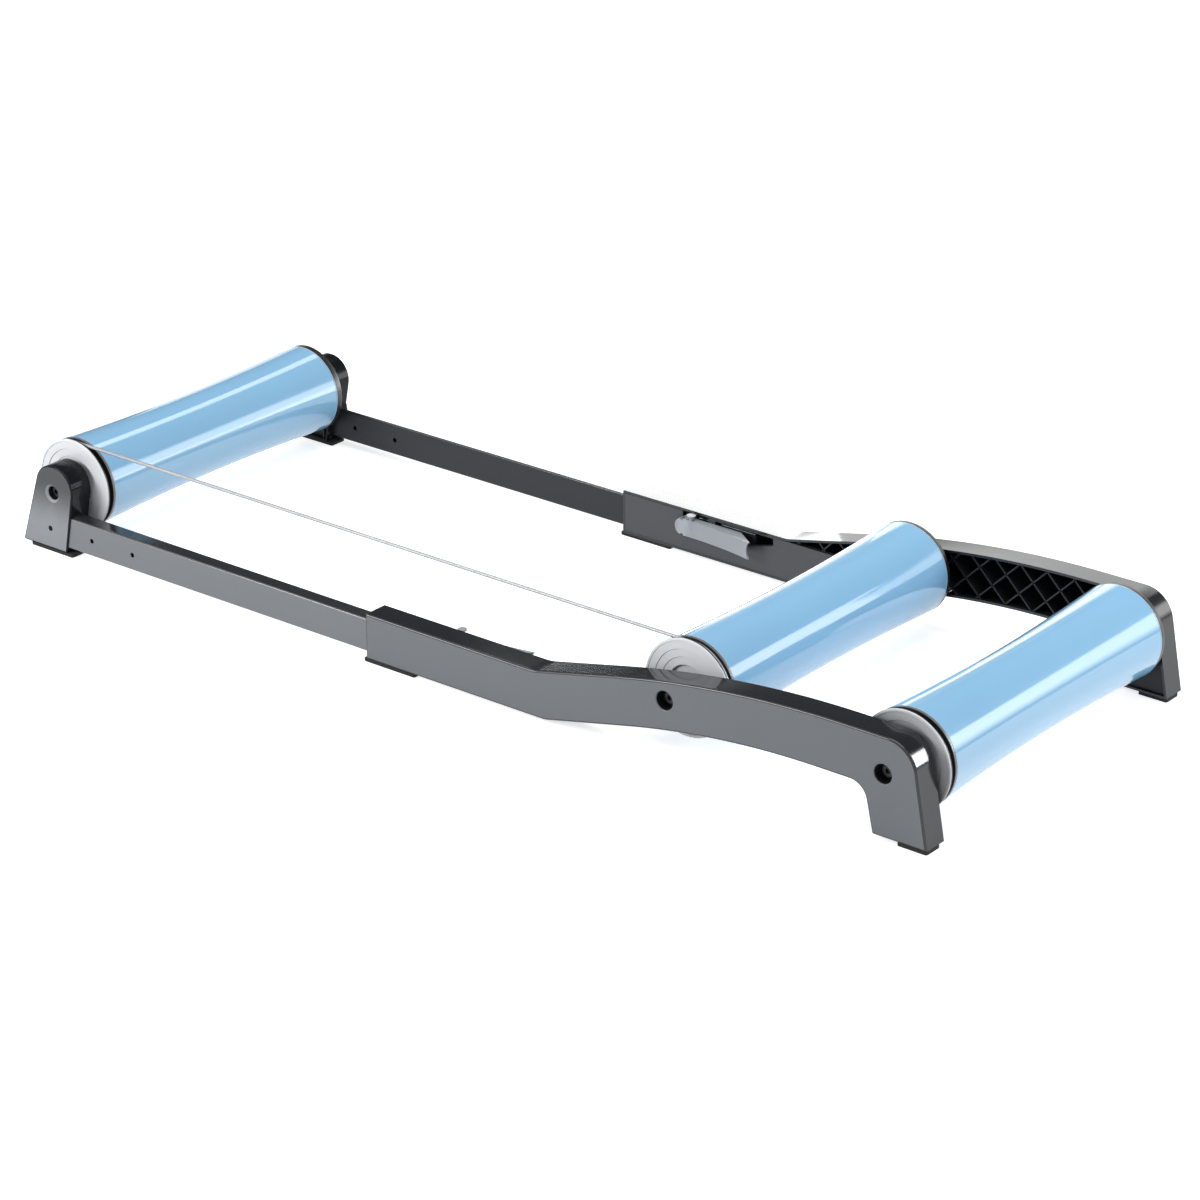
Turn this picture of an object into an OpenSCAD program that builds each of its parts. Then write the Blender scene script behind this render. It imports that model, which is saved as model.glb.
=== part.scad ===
// Bike rollers: three waisted drums on a frame that telescopes.
// +X points to the front wheel, +Y to the rider's left, +Z up. The origin is on the floor,
// in the middle of the overall length and between the two beams.

/* [Layout] */
// Distance from the middle axle to the front axle, with the frame drawn out
front_reach = 910; // [880:1:950]
// Distance between the middle and the rear axle
pair_gap = 278; // [262:1:310]
// How far the rear legs reach behind the rear axle
tail_overhang = 56; // [48:1:65]
// Height of all three axles above the floor
axle_z = 75; // [73:1:78]

/* [Rollers] */
// Half the length of a roller over its two caps
roller_half = 205; // [180:1:230]
// Radius of a roller at its two ends
roller_end_r = 55; // [54:0.5:57]
// Radius of a roller at its waist
roller_waist_r = 50; // [44:0.5:52]
// Wall of the roller shell
shell_wall = 3.2; // [2.5:0.1:4]
// Depth of the seat that a cap's spigot fills
spigot_len = 13; // [10:0.5:18]
// Width of the left cap outside the shell, with the belt groove
left_rim_w = 11.8; // [11:0.1:14]
// How far the left cap's rim stands out past its hub
rim_stand = 2; // [1:0.1:2.5]
// Radius of the left cap's outer rim, which keeps the belt on
rim_r = 56; // [55:0.1:57]
// Width of the right cap outside the shell
right_rim_w = 4.2; // [3:0.1:7]

/* [Belt] */
// Diameter of the round drive belt
belt_d = 4; // [3:0.1:4.4]
// Radius of the belt's centre line on the pulleys
belt_r = 51; // [50.5:0.1:51.5]
// Distance from the left end of a roller to the belt
belt_inset = 6; // [5.6:0.1:6.4]

/* [Bearings and axles] */
// Outer radius of the ball bearings
bearing_r = 14; // [13:0.5:16]
// Width of the ball bearings
bearing_w = 8; // [7:0.5:9]
// Depth of the bearing's face below the end of the cap
bearing_inset = 3; // [2.5:0.1:4]
// Radius of the axles
axle_r = 6; // [5:0.5:6.5]
// Radius of the bolts in the axle ends
bolt_r = 4; // [3:0.1:4.2]
// Radius of the bolt heads
bolt_head_r = 6.5; // [5.5:0.1:7.5]
// Height of the bolt heads
bolt_head_h = 5; // [4:0.5:6]
// Outer radius of the spacer sleeves on the axles
spacer_r = 8.5; // [8:0.1:9.5]

/* [Tubes] */
// Height of the sliding tubes
tube_h = 40; // [36:1:42]
// Width of the sliding tubes
tube_w = 20; // [16:1:24]
// Wall of the sliding tubes
tube_wall = 1.5; // [1:0.1:2.5]
// Outer corner radius of the sliding tubes
tube_corner_r = 2.5; // [2:0.1:4]
// Length of tube that stays in the sleeve, with the frame drawn out
tube_overlap = 188; // [170:1:190]
// Radius of the holes in the tubes
tube_hole_r = 3; // [2:0.1:4]
// Spacing of the holes in the tubes
tube_hole_pitch = 66; // [56:1:72]
// Play above and below a tube in its channel
slide_gap = 0.3; // [0.2:0.1:0.8]
// Play at the outer side of a tube in its channel
side_play = 0.3; // [0.2:0.1:0.8]

/* [Rear beams] */
// Gap between the roller ends and the inner face of the beams
beam_gap = 9; // [6:0.5:12]
// Thickness of the outer skin of the beams
skin_t = 3.5; // [2.5:0.1:5]
// Thickness of the flange round the edge of the beams
flange_t = 3.2; // [2:0.1:4]
// Height of the rails under the tubes
rail_h = 2.3; // [1.5:0.1:3]
// Height of the guide ribs beside the tubes
guide_h = 1.5; // [1:0.1:2.5]
// Thickness of the shelf over the tube channel
shelf_t = 2.5; // [2:0.1:4]
// Height of the sleeve's roof above that shelf
sleeve_head = 5.9; // [5:0.1:8]
// Distance from the middle axle forward to the sleeve's mouth
mouth_reach = 418; // [390:1:425]
// Distance from the middle axle forward to the bend in the beam's top
top_bend_reach = 178; // [165:1:190]
// Distance from the middle axle forward to the bend in the beam's belly
belly_bend_reach = 163; // [155:1:175]
// Angle at which the beams rise
rise_angle = 12.9; // [12:0.1:13.5]
// Height of the beams' crown
crown_z = 116.8; // [112:0.1:122]
// Height of the arch under the beams
arch_z = 57.3; // [54:0.1:60]
// Radius of the beams' long upper curve
crown_r = 1350; // [1000:10:1400]
// Radius of the beams' long lower curve
arch_r = 1100; // [800:10:1150]
// Radius of the rear top corner
tail_r = 37; // [25:1:40]
// Radius between the arch and the leg
leg_fillet_r = 22; // [12:1:26]
// Lean of the leg's rear face
tail_lean = 10.6; // [6:0.1:12]
// Lean of the leg's front face
leg_lean = 13; // [6:0.1:15]
// Distance from the rear axle forward to the foot of the leg's front face
leg_front = 11.4; // [5:0.1:16]
// Thickness of the diamond ribs
rib_t = 1.8; // [1.2:0.1:2.5]
// Distance between the diamond ribs, square to their length
rib_pitch = 25; // [18:0.5:34]
// How far the ribs stay back from the open side
rib_setback = 2; // [1:0.1:4]
// Radius of the axle bosses
boss_r = 15; // [13.5:0.1:18]
// Radius of the recess round the axle bolts in a beam
recess_r = 11; // [9:0.1:12]
// Depth of the recess round the axle bolts
recess_depth = 14; // [12:0.5:15]
// Wall between that recess and the axle's end
recess_floor = 5; // [4:0.5:7]

/* [Channel plates] */
// Thickness of the plates that close the tube channels
plate_t = 6.4; // [5:0.1:8]
// How far the plates reach past the belly bend
plate_tail = 130; // [100:1:140]

/* [Front brackets] */
// Gap between the roller ends and the inner face of the brackets
bracket_gap = 7; // [5:0.5:8.5]
// Skin of the bracket outside the tube
bracket_skin = 2.2; // [1.5:0.1:3]
// Wall of the bracket elsewhere
bracket_wall = 3; // [2:0.1:4]
// Height of the bracket's arch
bracket_top = 109.5; // [106:0.5:114]
// Radius of the bracket's arch
bracket_r = 28; // [20:1:28]
// Distance from the front axle forward to the bracket's toe
bracket_toe = 53; // [46:0.5:54]
// Distance from the front axle back to the bracket's heel
bracket_heel = 19; // [16:0.5:26]
// Depth of the recess round the bolt in a bracket
bracket_recess = 12; // [10:0.5:12]
// Radius of that recess
bracket_recess_r = 8.3; // [7.8:0.1:9]
// Width of the bevel round that recess
bracket_bevel = 2.7; // [1:0.1:3]

/* [Clamp levers] */
// Distance from the sleeve's mouth back to the lever pins
lever_back = 95; // [90:1:100]
// Distance from the beam's inner face in to the lever pins
pin_offset = 3; // [3:0.1:3.4]
// Radius of the lever pins
pin_r = 2.5; // [2:0.1:2.7]
// Length of the levers behind their pins
lever_len = 106; // [90:1:112]
// Length of the levers' nose in front of their pins
nose_len = 10; // [8:0.1:10.2]
// Height of the levers
lever_h = 21; // [19:0.5:22]
// Height of the levers' lower edge above the floor
lever_z = 29; // [28.5:0.5:29.5]
// Wall of the levers
lever_wall = 2.2; // [1.8:0.1:2.2]
// Radius of the cam lobe that presses the pad
lobe_r = 5.5; // [5:0.1:5.6]
// How far the lever's tip stands in from its root
lever_sweep = 11; // [8:0.5:13]

/* [Feet] */
// Thickness of the foot pads
foot_t = 4; // [3:0.1:5]
// Width of the foot pads
foot_w = 24; // [18:1:25]
// Length of the pads under the sleeve mouths
sleeve_foot_len = 74; // [50:1:90]
// Length of the pads under the rear legs
rear_foot_len = 37; // [25:1:44]
// How far all the pads lie to the rider's left of their beam's middle
foot_shift = 3.5; // [0:0.1:3.5]

/* [Hidden] */
// Clearances: a running fit, a snug fit inside one body, and a gap between faces
run_fit = 0.05;
snug = 0.02;
gap = 0.3;
eps = 1;

// Places along X: the origin is midway between the tail and the front roller's front
overall = front_reach + pair_gap + tail_overhang + rim_r;
rear_x = tail_overhang - overall / 2;
middle_x = rear_x + pair_gap;
front_x = middle_x + front_reach;

// Places across: everything on the left side is named by its distance from the middle plane
beam_in = roller_half + beam_gap;
tube_in = beam_in + plate_t + side_play;
tube_out = tube_in + tube_w;
beam_out = tube_out + side_play + guide_h + skin_t;
skin_in = beam_out - skin_t;
bracket_in = roller_half + bracket_gap;
bracket_out = tube_out + run_fit + bracket_skin;

// Heights
tube_z = foot_t + flange_t + rail_h + slide_gap;
tube_top = tube_z + tube_h;
shelf_z = tube_top + slide_gap;
sleeve_top = shelf_z + shelf_t + sleeve_head;
plate_top = sleeve_top - flange_t - gap / 2;
plate_bottom = foot_t + flange_t + gap / 2;

// How far the frame closes: the brackets' feet stop short of the feet under the mouths
mouth_lip = 4;
front_foot_front = 40;
front_foot_back = 28.5;
stop_gap = 4.5;
tail_room = 6;
slide_travel = front_reach - mouth_reach - mouth_lip - front_foot_back - stop_gap;

// Screws
screw_r = 2;
screw_head_r = 3.2;
screw_head_h = 2;
bracket_screw_reach = 6;
tube_front = 30;
peg_r = 3;

// The clamp: an ear of the plate between the cheeks of the lever, and a window behind them
ear_r = 4.2;
ear_h = 11;
window_front = 5.5;
window_back = 32;
window_z = 24;
ear_web_t = 3.7;
pad_t = 2.4;
pad_below = 8.5;
pad_arm_h = 10;
pad_h = 20.5;
pad_seat = 6;
pad_span = [11.5, 3.5];
arm_back = 0.5;
notch_w = 4;
notch_h = 2;
rivet_place = [-12.5, -4.5];
rivet_r = 2.5;
rivet_head_r = 5.3;
rivet_head_h = 1.5;
rivet_top = 6.5;

$fn = 64;

// Outline tools: corners are [back, up, radius], anticlockwise, and back is measured rearwards
function unit(v) = v / norm(v);
function left_of(v) = [-v[1], v[0]];
function at(list, i) = list[(i + len(list)) % len(list)];
function flat(c) = [c[0], c[1]];
function run_in(c, i) = unit(flat(c[i]) - flat(at(c, i - 1)));
function run_out(c, i) = unit(flat(at(c, i + 1)) - flat(c[i]));
function turn(c, i) = cross(run_in(c, i), run_out(c, i)) >= 0 ? 1 : -1;
function bisector(c, i) =
    let (a = left_of(run_in(c, i)), b = left_of(run_out(c, i))) (a + b) / (1 + a * b);
function inset(c, t) = [
    for (i = [0 : len(c) - 1])
        let (p = flat(c[i]) + bisector(c, i) * t)
        [p[0], p[1], max(0, c[i][2] - turn(c, i) * t)]
];
function corner_arc(c, i) =
    let (
        r = c[i][2],
        s = turn(c, i),
        centre = flat(c[i]) + s * r * bisector(c, i),
        from = -s * left_of(run_in(c, i)),
        to = -s * left_of(run_out(c, i)),
        sweep = acos(max(-1, min(1, from * to))),
        steps = max(2, ceil(sweep / (r > 300 ? 1.5 : 9)))
    )
    r == 0 ? [flat(c[i])] : [
        for (k = [0 : steps])
            let (a = atan2(from[1], from[0]) + s * sweep * k / steps)
            centre + r * [cos(a), sin(a)]
    ];
function rounded(c) = [for (i = [0 : len(c) - 1]) each corner_arc(c, i)];

// Where a line from one point at an angle reaches a height
function back_at(start, lean, z) = start[0] + (z - start[1]) * tan(lean);

// Outline of the rear beam, measured back from the middle axle
function beam_corners() =
    let (
        rise = tan(rise_angle),
        top_bend = -top_bend_reach,
        belly_bend = -belly_bend_reach,
        tail = pair_gap + tail_overhang,
        leg_foot = pair_gap - leg_front
    ) [
        [-mouth_reach, foot_t, 1],
        [belly_bend, foot_t, 30],
        [belly_bend + (arch_z - foot_t) / rise, arch_z, arch_r],
        [back_at([leg_foot, foot_t], -leg_lean, arch_z), arch_z, leg_fillet_r],
        [leg_foot, foot_t, 1],
        [tail, foot_t, 1],
        [back_at([tail, foot_t], -tail_lean, crown_z), crown_z, tail_r],
        [top_bend + (crown_z - sleeve_top) / rise, crown_z, crown_r],
        [top_bend, sleeve_top, 60],
        [-mouth_reach, sleeve_top, 1.5]
    ];

// Outline of the front bracket, measured back from the front axle
function bracket_corners() = [
    [-bracket_toe, foot_t, 2],
    [bracket_heel, foot_t, 2],
    [bracket_heel + (bracket_top - foot_t) * tan(10.5), bracket_top, bracket_r],
    [-bracket_toe + (bracket_top - foot_t) * tan(17.7), bracket_top, bracket_r]
];

// Left-side tools: a plate from an outline, a block, and a hole square to the middle plane
module side_plate(from_x, y0, y1) {
    translate([from_x, y1, 0]) rotate([90, 0, 0]) mirror([1, 0, 0])
        linear_extrude(y1 - y0) children();
}

module block(from_x, b0, b1, y0, y1, z0, z1) {
    translate([from_x - b1, y0, z0]) cube([b1 - b0, y1 - y0, z1 - z0]);
}

module side_rod(x, z, y0, y1, r) {
    translate([x, y0, z]) rotate([-90, 0, 0]) cylinder(h = y1 - y0, r = r);
}

module mirrored() {
    mirror([0, 1, 0]) children();
}

// The room that a tube takes up in its channel, over its whole travel
function tube_rear_back() = -mouth_reach + tube_overlap;
function tube_stop_back() = tube_rear_back() + slide_travel + tail_room;

module tube_channel() {
    block(middle_x, -mouth_reach - eps, tube_stop_back(), tube_in - side_play,
        tube_out + side_play, tube_z - slide_gap, tube_top + slide_gap);
}

// Diamond ribs: two families of thin strips, cut to the inside of the flange
module diamond_ribs(corners) {
    span = norm([mouth_reach + pair_gap, crown_z]) / 2;
    count = ceil(span / rib_pitch);
    centre = [(pair_gap - top_bend_reach) / 2, crown_z / 2];
    intersection() {
        polygon(rounded(inset(corners, flange_t / 2)));
        union() {
            for (tilt = [-45, 45], k = [-count : count])
                translate(centre) rotate(tilt) translate([-span, k * rib_pitch - rib_t / 2])
                    square([2 * span, rib_t]);
        }
    }
}

module axle_boss(x, y0) {
    side_rod(x, axle_z, y0, beam_out - skin_t / 2, boss_r);
}

// Recess for the bolt head, hole for the bolt and blind bore for the axle's end
module axle_seat(x, outer_y, depth, inner_y, r) {
    side_rod(x, axle_z, outer_y - depth, outer_y + eps, r);
    side_rod(x, axle_z, outer_y - depth - recess_floor - eps, outer_y, bolt_r + 0.2);
    side_rod(x, axle_z, inner_y - eps, outer_y - depth - recess_floor, axle_r + snug);
}

module rear_beam(foot_y) {
    corners = beam_corners();
    difference() {
        union() {
            side_plate(middle_x, skin_in, beam_out) polygon(rounded(corners));
            side_plate(middle_x, beam_in, skin_in) difference() {
                polygon(rounded(corners));
                polygon(rounded(inset(corners, flange_t)));
            }
            difference() {
                side_plate(middle_x, beam_in + rib_setback, skin_in) diamond_ribs(corners);
                plate_space();
                block(middle_x, -mouth_reach, tube_stop_back(), beam_in, skin_in,
                    foot_t, shelf_z + shelf_t / 2);
                block(middle_x, -mouth_reach, -top_bend_reach, beam_in, skin_in,
                    foot_t, sleeve_top);
            }
            shelf();
            tube_rails();
            axle_boss(middle_x, beam_in);
            axle_boss(rear_x, beam_in);
        }
        tube_channel();
        axle_seat(middle_x, beam_out, recess_depth, beam_in, recess_r);
        axle_seat(rear_x, beam_out, recess_depth, beam_in, recess_r);
        peg_holes(middle_x, sleeve_foot_start(), sleeve_foot_len, foot_y);
        peg_holes(middle_x, rear_foot_start(), rear_foot_len, foot_y);
    }
}

// Two rails that the tube slides on, and two guide ribs beside it on the skin
module tube_rails() {
    rail_w = 2;
    for (y = [tube_in + tube_w / 5, tube_out - tube_w / 5 - rail_w])
        block(middle_x, -mouth_reach + rail_w, -belly_bend_reach, y, y + rail_w,
            foot_t + flange_t / 2, foot_t + flange_t + rail_h);
    for (z = [tube_z + tube_h / 5, tube_top - tube_h / 5 - rail_w])
        block(middle_x, -mouth_reach + rail_w, -belly_bend_reach, skin_in - guide_h,
            skin_in + skin_t / 2, z, z + rail_w);
}

// The shelf runs from the mouth until it meets the arch
module shelf() {
    intersection() {
        side_plate(middle_x, beam_in + plate_t + gap, skin_in)
            polygon(rounded(inset(beam_corners(), flange_t / 2)));
        block(middle_x, -mouth_reach, pair_gap / 2, beam_in, skin_in, shelf_z, shelf_z + shelf_t);
    }
}

// The room of the channel plate inside the flange, with clearance on its free edges
module plate_space() {
    block(middle_x, -mouth_reach, -belly_bend_reach + plate_tail + gap, beam_in - eps,
        beam_in + plate_t + gap, foot_t, plate_top + gap);
}

// Places of the clamp
function lever_x() = middle_x + mouth_reach - lever_back;
function pin_y() = beam_in - pin_offset;
function lever_mid() = lever_z + lever_h / 2;
function lever_front() = -ear_r - gap - lever_wall;
function cheek_h() = (lever_h - ear_h) / 2 - gap;
function pad_in() = beam_in + plate_t - pad_t;
function pad_z0() = lever_mid() - pad_below;
function pad_arms() = [window_back + pad_seat, window_front + pad_seat];

// A block placed from the lever's pin: b0 and b1 are measured back from it
module pin_block(b0, b1, y0, y1, z0, z1) {
    block(lever_x(), b0, b1, y0, y1, z0, z1);
}

module plate_left() {
    difference() {
        union() {
            difference() {
                intersection() {
                    side_plate(middle_x, beam_in, beam_in + plate_t)
                        polygon(rounded(inset(beam_corners(), flange_t + gap / 2)));
                    block(middle_x, -mouth_reach, -belly_bend_reach + plate_tail, beam_in - eps,
                        beam_in + plate_t + eps, plate_bottom, plate_top);
                }
                // Window for the lever's cheeks
                pin_block(-window_front, window_back, beam_in - eps, beam_in + plate_t + eps,
                    window_z, plate_top + eps);
                finger_pocket();
            }
            lever_ear();
        }
        // Rebate in the plate's back for the arms of the pressure pad
        pin_block(-pad_arms()[1], pad_arms()[0], pad_in() - gap, beam_in + plate_t + eps,
            pad_z0() - snug, pad_z0() + pad_arm_h + gap);
        translate([lever_x(), pin_y(), lever_z]) cylinder(h = lever_h, r = pin_r + snug);
    }
}

// The ear carries the pin between the cheeks of the lever
module lever_ear() {
    z0 = lever_mid() - ear_h / 2;
    translate([lever_x(), pin_y(), z0]) cylinder(h = ear_h, r = ear_r);
    pin_block(-window_front - 0.5, ear_r, pin_y() + 1, beam_in + ear_web_t, z0, z0 + ear_h);
}

// Room for the fingers behind the lever's tip, deeper below towards the front
module finger_pocket() {
    pocket_lip = 1.2;
    start = window_back + 10;
    end = lever_len + 20;
    side_plate(lever_x(), beam_in - eps, beam_in + plate_t + eps) polygon(rounded([
        [start, lever_z + 3, 2],
        [lever_len - 11, lever_z + 7.5, 6],
        [end, lever_z + 15.5, 3],
        [end, plate_top - pocket_lip, 1],
        [start, plate_top - pocket_lip, 1]
    ]));
}

// The pin is sunk in two notches of the lever
module lever_pin_left() {
    translate([lever_x(), pin_y(), lever_z + notch_h + gap])
        cylinder(h = lever_h - 2 * (notch_h + gap), r = pin_r);
}

// The pad: two arms in the plate's rebate and a block that stands up behind the cam
module pressure_pad_left() {
    pin_block(gap - pad_arms()[1], pad_arms()[0] - gap, pad_in(), pad_in() + pad_t,
        pad_z0(), pad_z0() + pad_arm_h);
    pin_block(-pad_span[1], pad_span[0], pad_in(), pad_in() + pad_t, pad_z0(), pad_z0() + pad_h);
}

// The lever: a channel open to the plate, with a round nose in front and a cam lobe at the pin
module lever_left() {
    nose_r = 10.8;
    tip_notch_r = 16;
    tip_notch_shift = 11.5;
    pin_eye_r = pin_r + 2.7;
    lobe_place = [-4, 1.2];
    ear_room = ear_h + 2 * gap;
    lever_rivet();
    translate([lever_x(), pin_y(), 0]) difference() {
        translate([0, 0, lever_z]) linear_extrude(lever_h) union() {
            polygon(arm_outline());
            translate(lobe_place) circle(r = lobe_r);
            circle(r = pin_eye_r);
        }
        // The inside of the channel, and the room of the ear
        translate([0, 0, lever_z + lever_wall]) linear_extrude(lever_h - 2 * lever_wall)
            polygon(arm_inside());
        translate([-11, lever_front() + lever_wall, lever_mid() - ear_room / 2])
            cube([22, 30, ear_room]);
        translate([0, 0, lever_z - eps]) cylinder(h = lever_h + 2 * eps, r = pin_r + run_fit);
        // Round nose, two notches over the pin and the hollow at the tip
        translate([nose_len - nose_r, 0, lever_mid()]) rotate([90, 0, 0]) difference() {
            translate([0, -nose_r - eps, -20]) cube([nose_r + 2 * eps, 2 * (nose_r + eps), 40]);
            cylinder(h = 40, r = nose_r, center = true);
        }
        for (z = [lever_z - eps, lever_z + lever_h - notch_h])
            translate([-notch_w / 2, -20, z]) cube([notch_w, 20, notch_h + eps]);
        translate([-lever_len - tip_notch_shift, 0, lever_mid()]) rotate([90, 0, 0])
            cylinder(h = 100, r = tip_notch_r, center = true);
    }
}

// A headed rivet that stands up from the lever's upper wall
module lever_rivet() {
    translate([lever_x(), pin_y(), lever_z + lever_h - lever_wall / 2]) translate(rivet_place) {
        cylinder(h = rivet_top + lever_wall / 2, r = rivet_r);
        translate([0, 0, rivet_top + lever_wall / 2 - rivet_head_h])
            cylinder(h = rivet_head_h, r = rivet_head_r);
    }
}

// Plan of the lever from its pin: a straight back along the plate, a front that sweeps inwards
function arm_outline() = [
    [nose_len, lever_front()],
    [nose_len, lever_front() + 0.7],
    [nose_len - 1.5, lever_front() + lever_wall],
    [3, lever_front() + lever_wall],
    [-4, pin_offset - arm_back],
    [-80, pin_offset - arm_back],
    [-lever_len, arm_front(-lever_len) + lever_wall],
    for (k = [0 : 16]) let (x = -lever_len * (1 - k / 16)) [x, arm_front(x)]
];
function arm_inside() = [
    [-10, lever_front() + lever_wall],
    [-10, pin_offset + eps],
    [-80, pin_offset + eps],
    [-lever_len - eps, arm_front(-lever_len) + lever_wall + eps],
    for (k = [0 : 14])
        let (x = -lever_len - eps + (lever_len + eps - 11) * k / 14) [x, arm_front(x) + lever_wall]
];
function arm_front(x) = lever_front() - lever_sweep * pow(max(0, -x / lever_len), 2.2);

// Feet: plain pads with two pegs pressed up into the plastic
function beam_mid() = (beam_in + beam_out) / 2;
function bracket_mid() = (bracket_in + bracket_out) / 2;
function left_foot(mid) = mid + foot_shift;
function right_foot(mid) = mid - foot_shift;
function sleeve_foot_start() = -mouth_reach - mouth_lip;
function rear_foot_start() = pair_gap + tail_overhang - rear_foot_len;

module foot_pad(from_x, start, length, y) {
    groove_w = 2;
    difference() {
        block(from_x, start, start + length, y - foot_w / 2, y + foot_w / 2, 0, foot_t);
        for (s = [-1, 1])
            block(from_x, start - eps, start + length + eps, y + s * foot_w / 5 - groove_w / 2,
                y + s * foot_w / 5 + groove_w / 2, -eps, 1);
    }
    for (b = peg_places(start, length))
        translate([from_x - b, y, foot_t]) cylinder(h = flange_t / 2, r = peg_r);
}

module sleeve_foot(y) {
    foot_pad(middle_x, sleeve_foot_start(), sleeve_foot_len, y);
}

module rear_foot(y) {
    foot_pad(middle_x, rear_foot_start(), rear_foot_len, y);
}

module front_foot(y) {
    foot_pad(front_x, -front_foot_front, front_foot_front + front_foot_back, y);
}

module peg_holes(from_x, start, length, y) {
    for (b = peg_places(start, length))
        translate([from_x - b, y, foot_t - eps]) cylinder(h = flange_t / 2 + eps + 0.1,
            r = peg_r + snug);
}

function peg_places(start, length) = [start + length * 0.28, start + length * 0.72];

// Sliding tube: a box section with rounded corners and a row of holes through both walls
function tube_corners(t) = [
    [t, t, max(0.5, tube_corner_r - t)],
    [tube_h - t, t, max(0.5, tube_corner_r - t)],
    [tube_h - t, tube_w - t, max(0.5, tube_corner_r - t)],
    [t, tube_w - t, max(0.5, tube_corner_r - t)]
];
function tube_len() = tube_front + front_reach + tube_rear_back();
function tube_hole_z() = tube_z + tube_h / 2 - 0.4;

module tube_left() {
    difference() {
        translate([front_x + tube_front, tube_in, tube_z]) rotate([0, -90, 0])
            linear_extrude(tube_len()) difference() {
                polygon(rounded(tube_corners(0)));
                polygon(rounded(tube_corners(tube_wall)));
            }
        for (k = [0 : 2])
            side_rod(front_x - k * tube_hole_pitch + bracket_screw_reach, tube_hole_z(),
                tube_in - eps, tube_out + eps, tube_hole_r);
    }
}

module tube_plug_left() {
    plug_len = 16;
    translate([middle_x - tube_rear_back(), tube_in, tube_z]) rotate([0, -90, 0])
        linear_extrude(2.5) polygon(rounded(tube_corners(0)));
    translate([middle_x - tube_rear_back() + plug_len, tube_in, tube_z]) rotate([0, -90, 0])
        linear_extrude(plug_len) polygon(rounded(tube_corners(tube_wall + snug)));
}

// Front bracket: a hollow arch with a skin outside, a socket for the tube and an axle boss
module front_bracket(foot_y) {
    corners = bracket_corners();
    socket_wall = 2.6;
    past_heel = bracket_heel + bracket_toe;
    rib_places = [-18, 12];
    rib_w = 2;
    rib_back = 1.5;
    difference() {
        union() {
            side_plate(front_x, bracket_out - bracket_skin - 0.2, bracket_out)
                polygon(rounded(corners));
            side_plate(front_x, bracket_in, bracket_out - 1) difference() {
                polygon(rounded(corners));
                polygon(rounded(inset(corners, bracket_wall)));
            }
            intersection() {
                side_plate(front_x, bracket_in, bracket_out - 1) polygon(rounded(corners));
                union() {
                    block(front_x, -tube_front - socket_wall, past_heel, tube_in - socket_wall,
                        bracket_out, foot_t, tube_top + socket_wall);
                    for (b = rib_places)
                        block(front_x, b, b + rib_w, bracket_in + rib_back, bracket_out,
                            foot_t, axle_z);
                    side_rod(front_x, axle_z, bracket_in, bracket_out - 1, boss_r);
                }
            }
        }
        block(front_x, -tube_front, past_heel, tube_in - run_fit, tube_out + run_fit,
            tube_z - run_fit, tube_top + run_fit);
        axle_seat(front_x, bracket_out, bracket_recess, bracket_in, bracket_recess_r);
        translate([front_x, bracket_out - bracket_bevel, axle_z]) rotate([-90, 0, 0])
            cylinder(h = bracket_bevel + eps, r1 = bracket_recess_r,
                r2 = bracket_recess_r + bracket_bevel + eps);
        side_rod(front_x + bracket_screw_reach, tube_hole_z(), tube_out, bracket_out + eps,
            screw_r + snug);
        side_rod(front_x + bracket_screw_reach, tube_hole_z(), bracket_out - 1,
            bracket_out + eps, screw_head_r + 0.2);
        peg_holes(front_x, -front_foot_front, front_foot_front + front_foot_back, foot_y);
    }
}

// Screw that pins the bracket to one of the tube's holes
module bracket_screw_left() {
    side_rod(front_x + bracket_screw_reach, tube_hole_z(), bracket_out - 1,
        bracket_out - 0.2, screw_head_r);
    side_rod(front_x + bracket_screw_reach, tube_hole_z(), tube_out - tube_wall - 6,
        bracket_out - 1, screw_r);
}

// Axle with tapped ends
module axle(x, outer_y, depth) {
    end_y = outer_y - depth - recess_floor - 0.2;
    difference() {
        side_rod(x, axle_z, -end_y, end_y, axle_r);
        for (s = [-1, 1])
            side_rod(x, axle_z, s > 0 ? end_y - 20 : -end_y - eps, s > 0 ? end_y + eps : 20 - end_y,
                bolt_r);
    }
}

module axle_bolt_left(x, outer_y, depth) {
    head_y = outer_y - depth;
    difference() {
        union() {
            side_rod(x, axle_z, head_y, head_y + bolt_head_h, bolt_head_r);
            side_rod(x, axle_z, head_y - recess_floor - 16, head_y, bolt_r - snug);
        }
        translate([x, head_y + bolt_head_h / 2, axle_z]) rotate([-90, 0, 0])
            cylinder(h = bolt_head_h, r = bolt_head_r * 0.5, $fn = 6);
    }
}

module axle_spacer_left(x, inner_y) {
    difference() {
        side_rod(x, axle_z, roller_half - bearing_inset + 0.1, inner_y - 0.1, spacer_r);
        side_rod(x, axle_z, roller_half - bearing_inset - eps, inner_y + eps, axle_r + snug);
    }
}

module both_sides() {
    children();
    mirrored() children();
}

// Roller parts are turned about the axle; s is the distance from the middle plane to the left
module turned(x) {
    translate([x, 0, axle_z]) rotate([-90, 0, 0]) rotate_extrude($fn = 128) children();
}

function shell_left() = roller_half - left_rim_w;
function shell_right() = roller_half - right_rim_w;
function drum_r(s) =
    let (middle = (shell_left() - shell_right()) / 2, half = (shell_left() + shell_right()) / 2)
    roller_waist_r + (roller_end_r - roller_waist_r) * pow((s - middle) / half, 2);
function spigot_r() = roller_end_r - shell_wall;

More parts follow.
